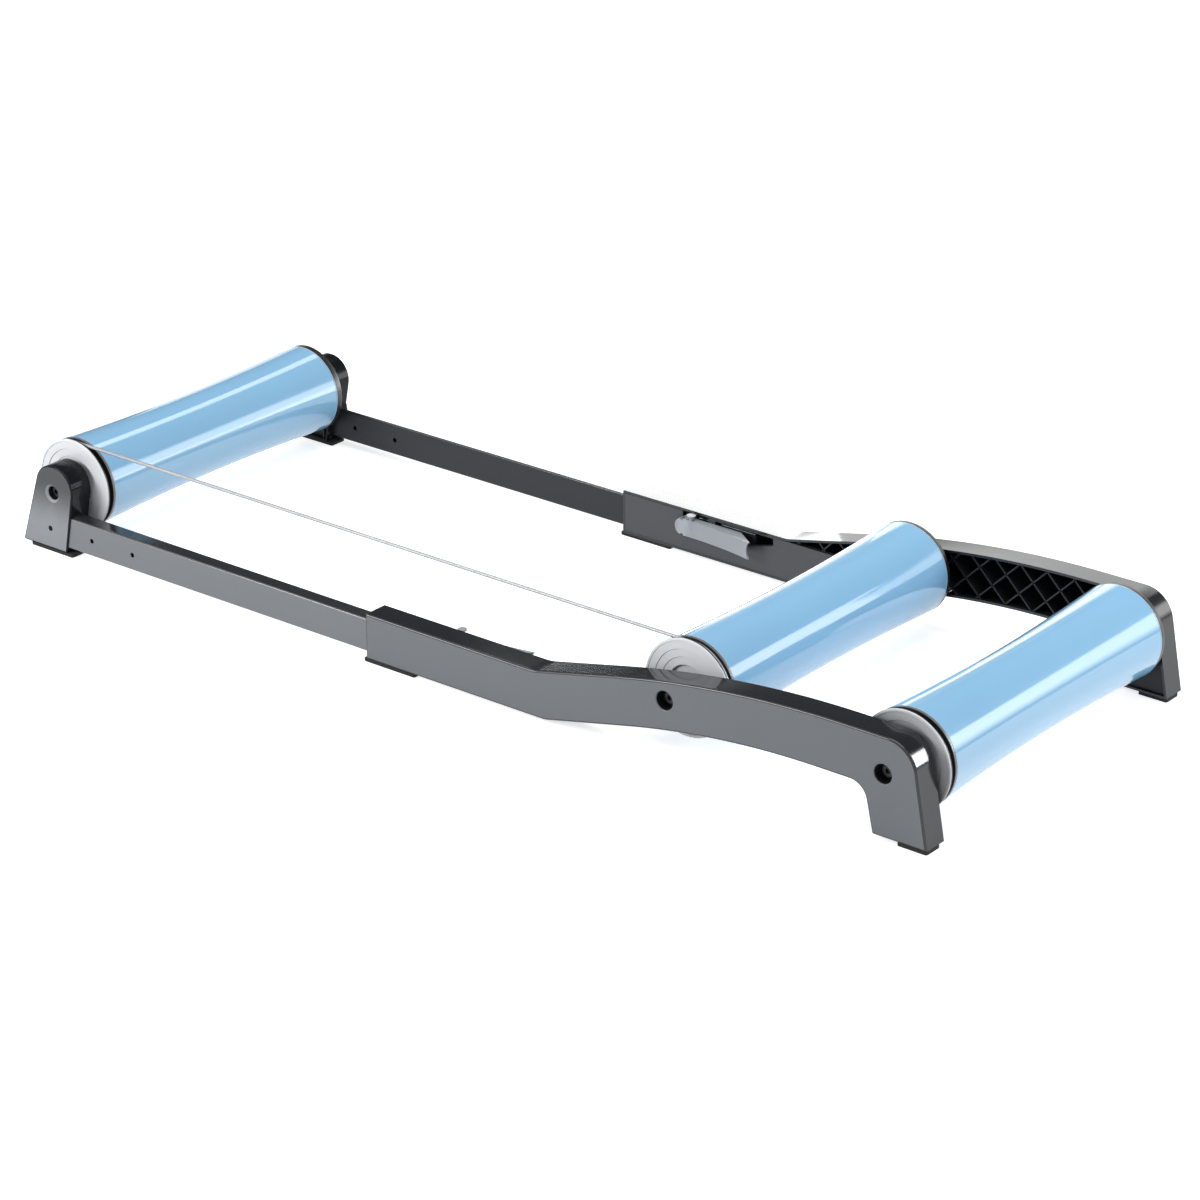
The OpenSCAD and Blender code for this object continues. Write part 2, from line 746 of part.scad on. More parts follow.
module shell(x) {
    steps = 24;
    run = shell_left() + shell_right();
    bore_run = run - 2 * spigot_len;
    turned(x) polygon(concat(
        [for (k = [0 : steps]) let (s = -shell_right() + run * k / steps) [drum_r(s), s]],
        [[spigot_r(), shell_left()], [spigot_r(), shell_left() - spigot_len]],
        [for (k = [steps : -1 : 0])
            let (s = -shell_right() + spigot_len + bore_run * k / steps)
            [drum_r(s) - shell_wall, s]],
        [[spigot_r(), -shell_right() + spigot_len], [spigot_r(), -shell_right()]]
    ));
}

// Stepped dish of a cap's face, then the bearing pocket, from the rim to the hub
ring_r = [53, 44, 35, 26];
ring_steps = [0.5, 1.2, 1.9];
shoulder = 3;
shoulder_t = 2;
hub_wall = 4;
function cap_face(end, stand) =
    let (face = end + stand, pocket = end - bearing_inset, back = pocket - bearing_w) [
        for (i = [0 : 2]) each [
            [ring_r[i], face - (i == 0 ? 0 : ring_steps[i - 1])], [ring_r[i], face - ring_steps[i]]
        ],
        [ring_r[3], face - ring_steps[2]], [ring_r[3], pocket + snug],
        [bearing_r, pocket + snug], [bearing_r, back],
        [bearing_r - shoulder, back], [bearing_r - shoulder, back - shoulder_t],
        [bearing_r + hub_wall, back - shoulder_t], [bearing_r + hub_wall, pocket - hub_web]
    ];
hub_web = 1.5;

// Cap with a belt groove between a lip at the shell and a wider rim outside
module pulley_cap(x) {
    groove_r = belt_r - belt_d / 2 - gap;
    groove = roller_half - belt_inset;
    half = belt_d / 2;
    face = roller_half + rim_stand;
    shell_end = shell_left();
    hidden_rim = spigot_r() - 2.6;
    turned(x) polygon(concat(
        cap_face(roller_half, rim_stand),
        [
            [hidden_rim - 4, roller_half - bearing_inset - hub_web],
            [hidden_rim - 4, shell_end - 3],
            [hidden_rim, shell_end - 3],
            [hidden_rim, shell_end - spigot_len + 2],
            [spigot_r() - snug, shell_end - spigot_len + 2],
            [spigot_r() - snug, shell_end],
            [roller_end_r, shell_end],
            [roller_end_r, groove - half - 1.2],
            [roller_end_r - 0.6, groove - half - 0.8],
            [groove_r, groove - half + 0.1],
            [groove_r, groove + half + 0.2],
            [rim_r - 0.5, groove + half + 2],
            [rim_r, groove + half + 2.5],
            [rim_r, face - 0.6],
            [rim_r - 0.6, face]
        ]
    ));
}

module end_cap(x) {
    shell_end = shell_right();
    hidden_rim = spigot_r() - 2.6;
    mirrored() turned(x) polygon(concat(
        cap_face(roller_half, 0),
        [
            [hidden_rim, roller_half - bearing_inset - hub_web],
            [hidden_rim, shell_end - spigot_len + 2],
            [spigot_r() - snug, shell_end - spigot_len + 2],
            [spigot_r() - snug, shell_end],
            [roller_end_r, shell_end],
            [roller_end_r, roller_half - 1.5],
            [roller_end_r - 1.5, roller_half]
        ]
    ));
}

module bearing_left(x) {
    end = roller_half - bearing_inset;
    inner_race = axle_r + 2.2;
    outer_race = bearing_r - 2.2;
    turned(x) polygon([
        [axle_r + run_fit, end - bearing_w + snug], [bearing_r - snug, end - bearing_w + snug],
        [bearing_r - snug, end], [outer_race, end], [outer_race, end - 0.5],
        [inner_race, end - 0.5], [inner_race, end], [axle_r + run_fit, end]
    ]);
}

// Endless round belt over the left caps of the front and the middle roller
module belt() {
    y = roller_half - belt_inset;
    for (end = [[front_x, -90], [middle_x, 90]])
        translate([end[0], y, axle_z]) rotate([90, 0, 0]) rotate(end[1])
            rotate_extrude(angle = 180, $fn = 96) translate([belt_r, 0]) circle(d = belt_d, $fn = 24);
    for (s = [-1, 1])
        translate([middle_x, y, axle_z + s * belt_r]) rotate([0, 90, 0])
            cylinder(h = front_reach, d = belt_d, $fn = 24);
}

// Colours
plastic = [0.30, 0.32, 0.34];
inner_plastic = [0.36, 0.38, 0.40];
steel = [0.62, 0.63, 0.65];
tube_paint = [0.28, 0.29, 0.31];
blue = [0.45, 0.68, 0.88];
cap_grey = [0.82, 0.83, 0.85];
cap_dark = [0.12, 0.12, 0.13];
lever_grey = [0.62, 0.65, 0.68];
foot_black = [0.08, 0.08, 0.08];
belt_clear = [0.90, 0.91, 0.92];

// Rear frame
module left_beam() { color(plastic) rear_beam(left_foot(beam_mid())); }
module right_beam() { color(plastic) mirrored() rear_beam(right_foot(beam_mid())); }
module left_channel_plate() { color(inner_plastic) plate_left(); }
module right_channel_plate() { color(inner_plastic) mirrored() plate_left(); }
module left_sleeve_foot() { color(foot_black) sleeve_foot(left_foot(beam_mid())); }
module right_sleeve_foot() { color(foot_black) mirrored() sleeve_foot(right_foot(beam_mid())); }
module left_rear_foot() { color(foot_black) rear_foot(left_foot(beam_mid())); }
module right_rear_foot() { color(foot_black) mirrored() rear_foot(right_foot(beam_mid())); }
module middle_axle() { color(steel) axle(middle_x, beam_out, recess_depth); }
module rear_axle() { color(steel) axle(rear_x, beam_out, recess_depth); }
module middle_axle_bolts() {
    color(steel) both_sides() axle_bolt_left(middle_x, beam_out, recess_depth);
}
module rear_axle_bolts() {
    color(steel) both_sides() axle_bolt_left(rear_x, beam_out, recess_depth);
}
module middle_axle_spacers() { color(steel) both_sides() axle_spacer_left(middle_x, beam_in); }
module rear_axle_spacers() { color(steel) both_sides() axle_spacer_left(rear_x, beam_in); }
module left_lever_pin() { color(steel) lever_pin_left(); }
module right_lever_pin() { color(steel) mirrored() lever_pin_left(); }
module left_pressure_pad() { color(cap_dark) pressure_pad_left(); }
module right_pressure_pad() { color(cap_dark) mirrored() pressure_pad_left(); }

// Front frame
module left_tube() { color(tube_paint) tube_left(); }
module right_tube() { color(tube_paint) mirrored() tube_left(); }
module left_bracket() { color(plastic) front_bracket(left_foot(bracket_mid())); }
module right_bracket() { color(plastic) mirrored() front_bracket(right_foot(bracket_mid())); }
module left_front_foot() { color(foot_black) front_foot(left_foot(bracket_mid())); }
module right_front_foot() { color(foot_black) mirrored() front_foot(right_foot(bracket_mid())); }
module front_axle() { color(steel) axle(front_x, bracket_out, bracket_recess); }
module front_axle_bolts() {
    color(steel) both_sides() axle_bolt_left(front_x, bracket_out, bracket_recess);
}
module front_axle_spacers() { color(steel) both_sides() axle_spacer_left(front_x, bracket_in); }
module bracket_screws() { color(steel) both_sides() bracket_screw_left(); }
module tube_end_plugs() { color(cap_dark) both_sides() tube_plug_left(); }

// Rollers
module front_shell() { color(blue) shell(front_x); }
module front_pulley_cap() { color(cap_grey) pulley_cap(front_x); }
module front_end_cap() { color(cap_dark) end_cap(front_x); }
module front_bearings() { color(steel) both_sides() bearing_left(front_x); }
module middle_shell() { color(blue) shell(middle_x); }
module middle_pulley_cap() { color(cap_grey) pulley_cap(middle_x); }
module middle_end_cap() { color(cap_dark) end_cap(middle_x); }
module middle_bearings() { color(steel) both_sides() bearing_left(middle_x); }
module rear_shell() { color(blue) shell(rear_x); }
module rear_pulley_cap() { color(cap_grey) pulley_cap(rear_x); }
module rear_end_cap() { color(cap_dark) end_cap(rear_x); }
module rear_bearings() { color(steel) both_sides() bearing_left(rear_x); }

// Levers and belt
module left_lever() { color(lever_grey) lever_left(); }
module right_lever() { color(lever_grey) mirrored() lever_left(); }
module drive_belt() { color(belt_clear) belt(); }

left_beam();
right_beam();
left_channel_plate();
right_channel_plate();
left_sleeve_foot();
right_sleeve_foot();
left_rear_foot();
right_rear_foot();
middle_axle();
rear_axle();
middle_axle_bolts();
rear_axle_bolts();
middle_axle_spacers();
rear_axle_spacers();
left_lever_pin();
right_lever_pin();
left_pressure_pad();
right_pressure_pad();
left_tube();
right_tube();
left_bracket();
right_bracket();
left_front_foot();
right_front_foot();
front_axle();
front_axle_bolts();
front_axle_spacers();
bracket_screws();
tube_end_plugs();
front_shell();
front_pulley_cap();
front_end_cap();
front_bearings();
middle_shell();
middle_pulley_cap();
middle_end_cap();
middle_bearings();
rear_shell();
rear_pulley_cap();
rear_end_cap();
rear_bearings();
left_lever();
right_lever();
drive_belt();
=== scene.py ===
"""Bike rollers: the looks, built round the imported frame. The pieces are in millimetres, the
camera, floor, lights and cards in metres. +X points to the front wheel, +Y to the rider's left
and +Z up."""
import math

import bmesh
import bpy
from mathutils import Matrix, Vector
from mathutils.geometry import tessellate_polygon


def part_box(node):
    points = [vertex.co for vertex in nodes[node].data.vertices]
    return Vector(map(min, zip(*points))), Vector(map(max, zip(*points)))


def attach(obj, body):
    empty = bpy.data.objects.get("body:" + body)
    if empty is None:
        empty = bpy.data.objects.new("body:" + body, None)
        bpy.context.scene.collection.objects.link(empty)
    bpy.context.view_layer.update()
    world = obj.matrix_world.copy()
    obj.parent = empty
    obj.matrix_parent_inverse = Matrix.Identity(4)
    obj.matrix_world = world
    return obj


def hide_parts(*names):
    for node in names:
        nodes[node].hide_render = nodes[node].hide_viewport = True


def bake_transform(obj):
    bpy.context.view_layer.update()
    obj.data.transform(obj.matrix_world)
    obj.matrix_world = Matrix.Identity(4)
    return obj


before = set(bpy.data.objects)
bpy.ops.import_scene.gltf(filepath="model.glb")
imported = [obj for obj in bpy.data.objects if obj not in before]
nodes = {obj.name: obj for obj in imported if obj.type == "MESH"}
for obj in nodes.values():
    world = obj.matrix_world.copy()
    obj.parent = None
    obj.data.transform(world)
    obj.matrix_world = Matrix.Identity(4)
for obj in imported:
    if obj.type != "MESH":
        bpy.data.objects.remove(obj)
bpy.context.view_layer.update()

# Camera
# The photograph was taken with a long lens from the rear left, looking down at the rollers.
# Its place and lens were fitted to about 70 points of the frame, and it needs no shift.
CAMERA_PLACE = (-2.676334, 3.308980, 1.900137)  # metres
CAMERA_RIGHT = (-0.78163198, -0.62373936, -0.0008065)
CAMERA_UP = (0.2517041, -0.31660269, 0.91455332)
CAMERA_FORWARD = (0.57069824, -0.71464113, -0.40446455)
SENSOR = 36.0
PHOTO_WIDTH, FOCAL_PIXELS = 1200, 4091.0
LENS = FOCAL_PIXELS * SENSOR / PHOTO_WIDTH


def add_object(name, data):
    """A new object in the scene."""
    made = bpy.data.objects.new(name, data)
    bpy.context.scene.collection.objects.link(made)
    return made


camera = add_object("camera", bpy.data.cameras.new("camera"))
bpy.context.scene.camera = camera
camera.data.sensor_width = SENSOR
camera.data.lens = LENS
camera.data.clip_start = 0.05
camera.data.clip_end = 60
camera.matrix_world = Matrix([
    (CAMERA_RIGHT[i], CAMERA_UP[i], -CAMERA_FORWARD[i], CAMERA_PLACE[i]) for i in range(3)
] + [(0, 0, 0, 1)])

# Rear beams
# Each rear beam is one moulding in dark grey glass-filled nylon: a channel, open on the inner
# side, with a polished flange all round and a satin skin outside. Its outer edges are rounded,
# and two recesses take the axle bolts. Thin diamond ribs inside stiffen it.
MM = 0.001


def span(node, axis):
    """The lowest and the highest place of a node on one axis, in millimetres."""
    low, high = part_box(node)
    return round(low[axis] / MM, 3), round(high[axis] / MM, 3)


MIDDLE_X, REAR_X, FRONT_X = (sum(span(place + "_axle", 0)) / 2 for place in ("middle", "rear", "front"))
AXLE_Z = sum(span("middle_axle", 2)) / 2
PAIR_GAP = MIDDLE_X - REAR_X
BEAM_IN, BEAM_OUT = span("left_beam", 1)
BEAM_LOW, BEAM_HIGH = span("left_beam", 2)
BEAM_FLANGE, BEAM_SKIN, BEAM_ROUND = 3.2, 3.5, 2.4
BEAM_RECESS_R, BEAM_RECESS_MOUTH, BEAM_RECESS_DEPTH, RECESS_FLOOR = 11, 12.1, 14, 5
BOSS_R, BORE_R, BOLT_HOLE_R, LEAST_BEVEL = 15, 6.02, 4.2, 2
MOUTH_BACK, BELLY_BEND, TOP_BEND, SLEEVE_TOP = -418, -163, -178, 58.5
BEAM_CORNERS = [
    # back from the middle axle, height, radius; anticlockwise
    (MOUTH_BACK, BEAM_LOW, 1), (BELLY_BEND, BEAM_LOW, 30), (69.7, 57.3, 1100), (254.3, 57.3, 22),
    (266.6, BEAM_LOW, 1), (334, BEAM_LOW, 1), (312.9, BEAM_HIGH, 37), (76.5, BEAM_HIGH, 1350),
    (TOP_BEND, SLEEVE_TOP, 60), (MOUTH_BACK, SLEEVE_TOP, 1.5),
]
# the channel is the room of the tube with its play; the shelf lies over it, the rails beside it
TUBE_IN, TUBE_OUT = span("left_tube", 1)
TUBE_LOW, TUBE_HIGH = span("left_tube", 2)
TUBE_PLAY, SHELF_THICK, SHELF_BACK = 0.3, 2.5, 40
CHANNEL_IN, CHANNEL_OUT = TUBE_IN - TUBE_PLAY, TUBE_OUT + TUBE_PLAY
CHANNEL_LOW, CHANNEL_HIGH = TUBE_LOW - TUBE_PLAY, TUBE_HIGH + TUBE_PLAY
RAIL_WIDE, RAIL_SIDE_INSET, RAIL_TOP_INSET = 2, 4, 8
LEG_PANEL_IN, LEG_PANEL_OUT, LEG_PANEL_ROUND = 217, 219, 2
LEG_PANEL_CORNERS = [(268.6, 6.8), (330.7, 6.8), (322.8, 50), (259, 50)]
PLATE_END, PLATE_ROOM_TOP, CHANNEL_ROOF, CHANNEL_END = -32.7, 56, 51.3, 231
RIB_THICK, RIB_PITCH, RIB_CENTRE, RIBS_EACH_WAY = 1.8, 25, (50, 58.4), 16
RIB_STEP, RIB_REACH, SHORTEST_RIB = 0.5, 360, 3
RIB_IN, PLATE_RIB_IN, RIB_OUT, RIB_INSET = 216, 220.8, 243, 2.6
# the kinds of surface on a beam or a bracket, in the order of its materials
FACE, EDGE, INSIDE, BEVEL = 0, 1, 2, 3
# arcs: the least radius, the radius of a long curve, and the degrees between points on each kind
LEAST_R, LONG_CURVE_R, CURVE_STEP, CORNER_STEP = 0.03, 300, 0.7, 6
# the support points of a straight: their distance from its ends, and the most it may be of its length
SUPPORT, SUPPORT_SHARE = 1.5, 0.25


def outline(corners, inset=0.0):
    """Outline of an inset polygon with rounded corners; every inset has the same number of points.
    Each straight has a point close to either end, so that its shading stays flat."""
    n = len(corners)
    flat = [Vector(c[:2]) for c in corners]
    arcs = []
    for i in range(n):
        a = (flat[i] - flat[i - 1]).normalized()
        b = (flat[(i + 1) % n] - flat[i]).normalized()
        left_a, left_b = Vector((-a.y, a.x)), Vector((-b.y, b.x))
        bisector = (left_a + left_b) / (1 + left_a.dot(left_b))
        way = 1 if a.x * b.y - a.y * b.x >= 0 else -1
        r = max(LEAST_R, corners[i][2] - way * inset)
        centre = flat[i] + bisector * (inset + way * r)
        start = -way * left_a
        sweep = math.degrees(math.acos(max(-1.0, min(1.0, left_a.dot(left_b)))))
        steps = max(3, math.ceil(sweep / (CURVE_STEP if corners[i][2] > LONG_CURVE_R else CORNER_STEP)))
        first = math.atan2(start.y, start.x)
        turns = [first + way * math.radians(sweep) * k / steps for k in range(steps + 1)]
        arcs.append([centre + r * Vector((math.cos(t), math.sin(t))) for t in turns])
    points = []
    for arc, following in zip(arcs, arcs[1:] + arcs[:1]):
        straight = following[0] - arc[-1]
        share = min(SUPPORT_SHARE, SUPPORT / max(straight.length, 0.01))
        points += arc + [arc[-1] + straight * share, following[0] - straight * share]
    return points


def circle(x, y, r, count=64):
    """Points on a circle, anticlockwise."""
    turn = 2 * math.pi / count
    return [Vector((x + r * math.cos(turn * k), y + r * math.sin(turn * k))) for k in range(count)]


class Moulding:
    """Gathers rings and faces in millimetres; each face has the number of its material."""

    def __init__(self, place):
        self.place, self.points, self.flat, self.faces, self.kinds = place, [], [], [], []

    def ring(self, points, level):
        """Add flat points at one level, and give back their numbers."""
        start = len(self.points)
        self.flat += points
        self.points += [self.place(p, level) for p in points]
        return list(range(start, len(self.points)))

    def bridge(self, a, b, kind=0):
        """Close the band between two rings of equal length."""
        n = len(a)
        for i in range(n):
            self.faces.append((a[i], a[(i + 1) % n], b[(i + 1) % n], b[i]))
            self.kinds.append(kind)

    def loft(self, rings, kind=0):
        """Close the bands between all the rings in turn."""
        for a, b in zip(rings, rings[1:]):
            self.bridge(a, b, kind)

    def fill(self, rings, kind=0):
        """Close one flat face: the first ring is its outline, the others are its holes."""
        order = [i for r in rings for i in r]
        for tri in tessellate_polygon([[Vector((*self.flat[i], 0)) for i in r] for r in rings]):
            self.faces.append(tuple(order[i] for i in tri))
            self.kinds.append(kind)

    def block(self, x0, x1, z0, z1, y0, y1, kind=0, edge=0.25):
        """A bar between two levels with lightly broken edges."""
        corners = [(x0, z0, 0.05), (x1, z0, 0.05), (x1, z1, 0.05), (x0, z1, 0.05)]
        rings = [self.ring(outline(corners, i), y) for i, y in
                 ((edge, y0), (0, y0 + edge), (0, y1 - edge), (edge, y1))]
        self.loft(rings, kind)
        self.fill([rings[0]], kind)
        self.fill([rings[-1]], kind)

    def mesh(self, name):
        """The mesh, in metres, with its material numbers."""
        mesh = bpy.data.meshes.new(name)
        mesh.from_pydata([Vector(p) * MM for p in self.points], [], self.faces)
        mesh.polygons.foreach_set("material_index", self.kinds)
        return mesh


def tidy_mesh(mesh, sharp=32, mirrored=False):
    """Merge, mirror when it is the right side's, turn the faces outwards and shade."""
    work = bmesh.new()
    work.from_mesh(mesh)
    if mirrored:
        bmesh.ops.scale(work, vec=(1, -1, 1), verts=work.verts)
    bmesh.ops.remove_doubles(work, verts=work.verts, dist=4e-6)
    bmesh.ops.dissolve_degenerate(work, edges=work.edges, dist=1e-6)
    bmesh.ops.recalc_face_normals(work, faces=work.faces)
    work.to_mesh(mesh)
    work.free()
    mesh.shade_smooth()
    mesh.set_sharp_from_angle(angle=math.radians(sharp))
    return mesh


def place_piece(name, mesh, body, materials, node, sharp=32, mirrored=False):
    """Finish a mesh, give it its materials, and let it ride on its body in the node's stead."""
    kinds = [face.material_index for face in mesh.polygons]
    mesh.materials.clear()
    for material in materials:
        mesh.materials.append(material)
    mesh.polygons.foreach_set("material_index", kinds)
    piece = add_object(name, tidy_mesh(mesh, sharp, mirrored))
    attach(piece, body)
    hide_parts(node)
    return piece


def changed_mesh(thing):
    """An object's mesh as its modifiers leave it; the object itself goes."""
    bpy.context.view_layer.update()
    done = bpy.data.meshes.new_from_object(
        thing.evaluated_get(bpy.context.evaluated_depsgraph_get()))
    bpy.data.objects.remove(thing)
    return done


def cut(mesh, cutter):
    """The mesh less the cutter's mesh; the new faces keep the cutter's material numbers."""
    body, tool = add_object("cut_body", mesh), add_object("cut_tool", cutter)
    for part in (body, tool):
        # three empty slots, for face, edge and inside, carry the numbers through the cut
        while len(part.data.materials) < 3:
            part.data.materials.append(None)
        tidy_mesh(part.data)
    change = body.modifiers.new("cut", "BOOLEAN")
    change.operation, change.solver, change.object = "DIFFERENCE", "EXACT", tool
    change.material_mode = "INDEX"
    done = changed_mesh(body)
    bpy.data.objects.remove(tool)
    return done


def joined(name, meshes):
    """One mesh from several that share their list of materials."""
    work = bmesh.new()
    for mesh in meshes:
        work.from_mesh(mesh)
    result = bpy.data.meshes.new(name)
    work.to_mesh(result)
    work.free()
    return result


def put(node, **values):
    """Set a node's sockets; a name has an underscore where the socket's has a space."""
    for name, value in values.items():
        node.inputs[name.replace("_", " ")].default_value = value


def tone(colour, factor=1.0, lift=0.0):
    """A colour for a socket, made lighter or darker."""
    return (*[min(1, c * factor + lift) for c in colour], 1)


def new_material(name):
    """A material, its tree of nodes, and the shader in it."""
    material = bpy.data.materials.new(name)
    material.use_nodes = True
    return material, material.node_tree, material.node_tree.nodes["Principled BSDF"]


def moulded_plastic(name, colour, roughness=0.38, grain=0.12, grain_scale=2200, drift=0.07,
                    worn=0.0, coat=0.0, specular=0.5, spread=0.05, sharp_edges=False,
                    deep=0.0, fade=None):
    """Moulded plastic: spark-eroded grain, slow drift of colour and gloss, rubbed outer edges.
    Deep is how far from a wall its painted shade reaches, in metres. Fade is painted light and shade by
    height: the height above which only a share of the colour is left, the height where it starts to
    fall, and that share."""
    material, tree, shader = new_material(name)
    new, link = tree.nodes.new, tree.links.new
    put(shader, Specular_IOR_Level=specular, Coat_Weight=coat, Coat_Roughness=0.08)
    place = new("ShaderNodeTexCoord")
    fine, slow = new("ShaderNodeTexNoise"), new("ShaderNodeTexNoise")
    for noise, scale, detail in ((fine, grain_scale, 3), (slow, 11, 4)):
        put(noise, Scale=scale, Detail=detail)
        link(place.outputs["Object"], noise.inputs["Vector"])
    tint = new("ShaderNodeMix")
    tint.data_type = "RGBA"
    put(tint, A=tone(colour, 1 - drift), B=tone(colour, 1 + drift))
    link(slow.outputs["Fac"], tint.inputs["Factor"])
    if fade:
        # painted light and shade: paler towards the floor, whose light falls on the lower face, and
        # darker higher up
        height, fall = new("ShaderNodeSeparateXYZ"), new("ShaderNodeMapRange")
        darker = new("ShaderNodeMix")
        fall.interpolation_type = "SMOOTHSTEP"
        full, start, share = fade
        put(fall, From_Min=start, From_Max=full)
        link(place.outputs["Object"], height.inputs["Vector"])
        link(height.outputs["Z"], fall.inputs["Value"])
        darker.data_type = "RGBA"
        darker.blend_type = "MULTIPLY"
        put(darker, B=(share, share, share, 1))
        link(fall.outputs["Result"], darker.inputs["Factor"])
        link(tint.outputs["Result"], darker.inputs["A"])
        tint = darker
    gloss = new("ShaderNodeMapRange")
    put(gloss, From_Min=0.3, From_Max=0.7, To_Min=max(0.02, roughness - spread),
        To_Max=roughness + spread)
    link(slow.outputs["Fac"], gloss.inputs["Value"])
    # the rubbed edge: where the surface is convex, or where a softened normal leaves the flat one
    edge, surface = new("ShaderNodeMapRange"), new("ShaderNodeNewGeometry")
    put(edge, To_Max=worn)
    bump = new("ShaderNodeBump")
    if sharp_edges:
        soft, agree = new("ShaderNodeBevel"), new("ShaderNodeVectorMath")
        soft.samples = 4
        put(soft, Radius=0.0005)
        agree.operation = "DOT_PRODUCT"
        link(soft.outputs["Normal"], agree.inputs[0])
        link(surface.outputs["Normal"], agree.inputs[1])
        link(agree.outputs["Value"], edge.inputs["Value"])
        put(edge, From_Min=0.995, From_Max=0.86)
        link(soft.outputs["Normal"], bump.inputs["Normal"])
    else:
        link(surface.outputs["Pointiness"], edge.inputs["Value"])
        put(edge, From_Min=0.51, From_Max=0.6)
    rub = new("ShaderNodeMix")
    rub.data_type = "RGBA"
    put(rub, B=tone(colour, 1.6, 0.04))
    link(edge.outputs["Result"], rub.inputs["Factor"])
    link(tint.outputs["Result"], rub.inputs["A"])
    link(rub.outputs["Result"], shader.inputs["Base Color"])
    if deep:
        # painted shade: the colour darkens near walls, in corners and pockets, where shade falls
        near_wall, dark = new("ShaderNodeAmbientOcclusion"), new("ShaderNodeMix")
        near_wall.samples = 4
        put(near_wall, Distance=deep)
        dark.data_type = "RGBA"
        put(dark, A=tone(colour, 0.12))
        link(near_wall.outputs["AO"], dark.inputs["Factor"])
        link(rub.outputs["Result"], dark.inputs["B"])
        link(dark.outputs["Result"], shader.inputs["Base Color"])
    link(gloss.outputs["Result"], shader.inputs["Roughness"])
    put(bump, Strength=grain, Distance=0.0003)
    link(fine.outputs["Fac"], bump.inputs["Height"])
    link(bump.outputs["Normal"], shader.inputs["Normal"])
    return material


def rib_tree():
    """Sweeps a thin upright strip along every edge: the ribs of one moulding."""
    tree = bpy.data.node_groups.new("ribs_on_lines", "GeometryNodeTree")
    sockets = tree.interface.new_socket
    sockets("Rib lines", in_out="INPUT", socket_type="NodeSocketGeometry")
    for label, size in (("Rib thickness", RIB_THICK * MM), ("Rib depth", (RIB_OUT - RIB_IN) * MM)):
        sockets(label, in_out="INPUT", socket_type="NodeSocketFloat").default_value = size
    sockets("Material", in_out="INPUT", socket_type="NodeSocketMaterial")
    sockets("Ribs", in_out="OUTPUT", socket_type="NodeSocketGeometry")
    new, link = tree.nodes.new, tree.links.new
    given, made = new("NodeGroupInput"), new("NodeGroupOutput")
    line, up = new("GeometryNodeMeshToCurve"), new("GeometryNodeSetCurveNormal")
    up.mode = "Z_UP"
    strip, sweep = new("GeometryNodeCurvePrimitiveQuadrilateral"), new("GeometryNodeCurveToMesh")
    put(sweep, Fill_Caps=True)
    real, paint = new("GeometryNodeRealizeInstances"), new("GeometryNodeSetMaterial")
    link(given.outputs["Rib lines"], line.inputs["Mesh"])
    link(line.outputs["Curve"], up.inputs["Curve"])
    link(up.outputs["Curve"], sweep.inputs["Curve"])
    link(given.outputs["Rib thickness"], strip.inputs["Width"])
    link(given.outputs["Rib depth"], strip.inputs["Height"])
    link(strip.outputs["Curve"], sweep.inputs["Profile Curve"])
    link(sweep.outputs["Mesh"], real.inputs["Geometry"])
    link(real.outputs["Geometry"], paint.inputs["Geometry"])
    link(given.outputs["Material"], paint.inputs["Material"])
    link(paint.outputs["Geometry"], made.inputs["Ribs"])
    return tree


def ribs_on(lines, tree, inner, outer, material):
    """Mesh of the ribs on the given lines (back, height), between two distances from the middle."""
    mesh = bpy.data.meshes.new("rib_lines")
    ends = [Vector((*p, (inner + outer) / 2)) * MM for line in lines for p in line]
    mesh.from_pydata(ends, [(2 * k, 2 * k + 1) for k in range(len(lines))], [])
    holder = add_object("rib_lines", mesh)
    ribs = holder.modifiers.new("ribs", "NODES")
    ribs.node_group = tree
    values = {"Rib thickness": RIB_THICK * MM, "Rib depth": (outer - inner) * MM,
              "Material": material}
    for item in tree.interface.items_tree:
        if item.item_type == "SOCKET" and item.in_out == "INPUT" and item.name in values:
            ribs[item.identifier] = values[item.name]
    done = changed_mesh(holder)
    done.transform(Matrix(((-1, 0, 0, MIDDLE_X * MM), (0, 0, 1, 0), (0, 1, 0, 0), (0, 0, 0, 1))))
    return done


def clipped_lines(corners, inset, allowed):
    """Both families of slanting lines, cut where they leave the outline or the allowed room."""
    edge = outline(corners, inset)
    pairs = list(zip(edge, edge[1:] + edge[:1]))
    steps = round(RIB_REACH / RIB_STEP)
    lines = []
    for slope in (-1, 1):
        way = Vector((1, slope)).normalized()
        across = Vector((-way.y, way.x))
        for k in range(-RIBS_EACH_WAY, RIBS_EACH_WAY + 1):
            start = None
            for s in range(-steps, steps + 1):
                p = Vector(RIB_CENTRE) + across * k * RIB_PITCH + way * s * RIB_STEP
                # a point inside crosses the outline an odd number of times on its way out
                hits = sum((a.y > p.y) != (b.y > p.y) and
                           p.x < (b.x - a.x) * (p.y - a.y) / (b.y - a.y) + a.x for a, b in pairs)
                good = hits % 2 == 1 and allowed(p) and all(
                    (p - Vector((b, AXLE_Z))).length > BOSS_R - 1 for b in (0, PAIR_GAP))
                if good and start is None:
                    start = p
                elif start is not None and not good:
                    if (p - start).length > SHORTEST_RIB:
                        lines.append((tuple(start), tuple(p - way * RIB_STEP)))
                    start = None
    return lines


def open_room(p):
    """The ribs' free room: behind the sleeve, over the leg's panel, clear of the plate and channel."""
    over_plate = p.x < PLATE_END and p.y < PLATE_ROOM_TOP
    in_channel = p.x < CHANNEL_END and p.y < CHANNEL_ROOF
    return p.x > TOP_BEND and p.y > LEG_PANEL_CORNERS[-1][1] - 1 and not over_plate and not in_channel


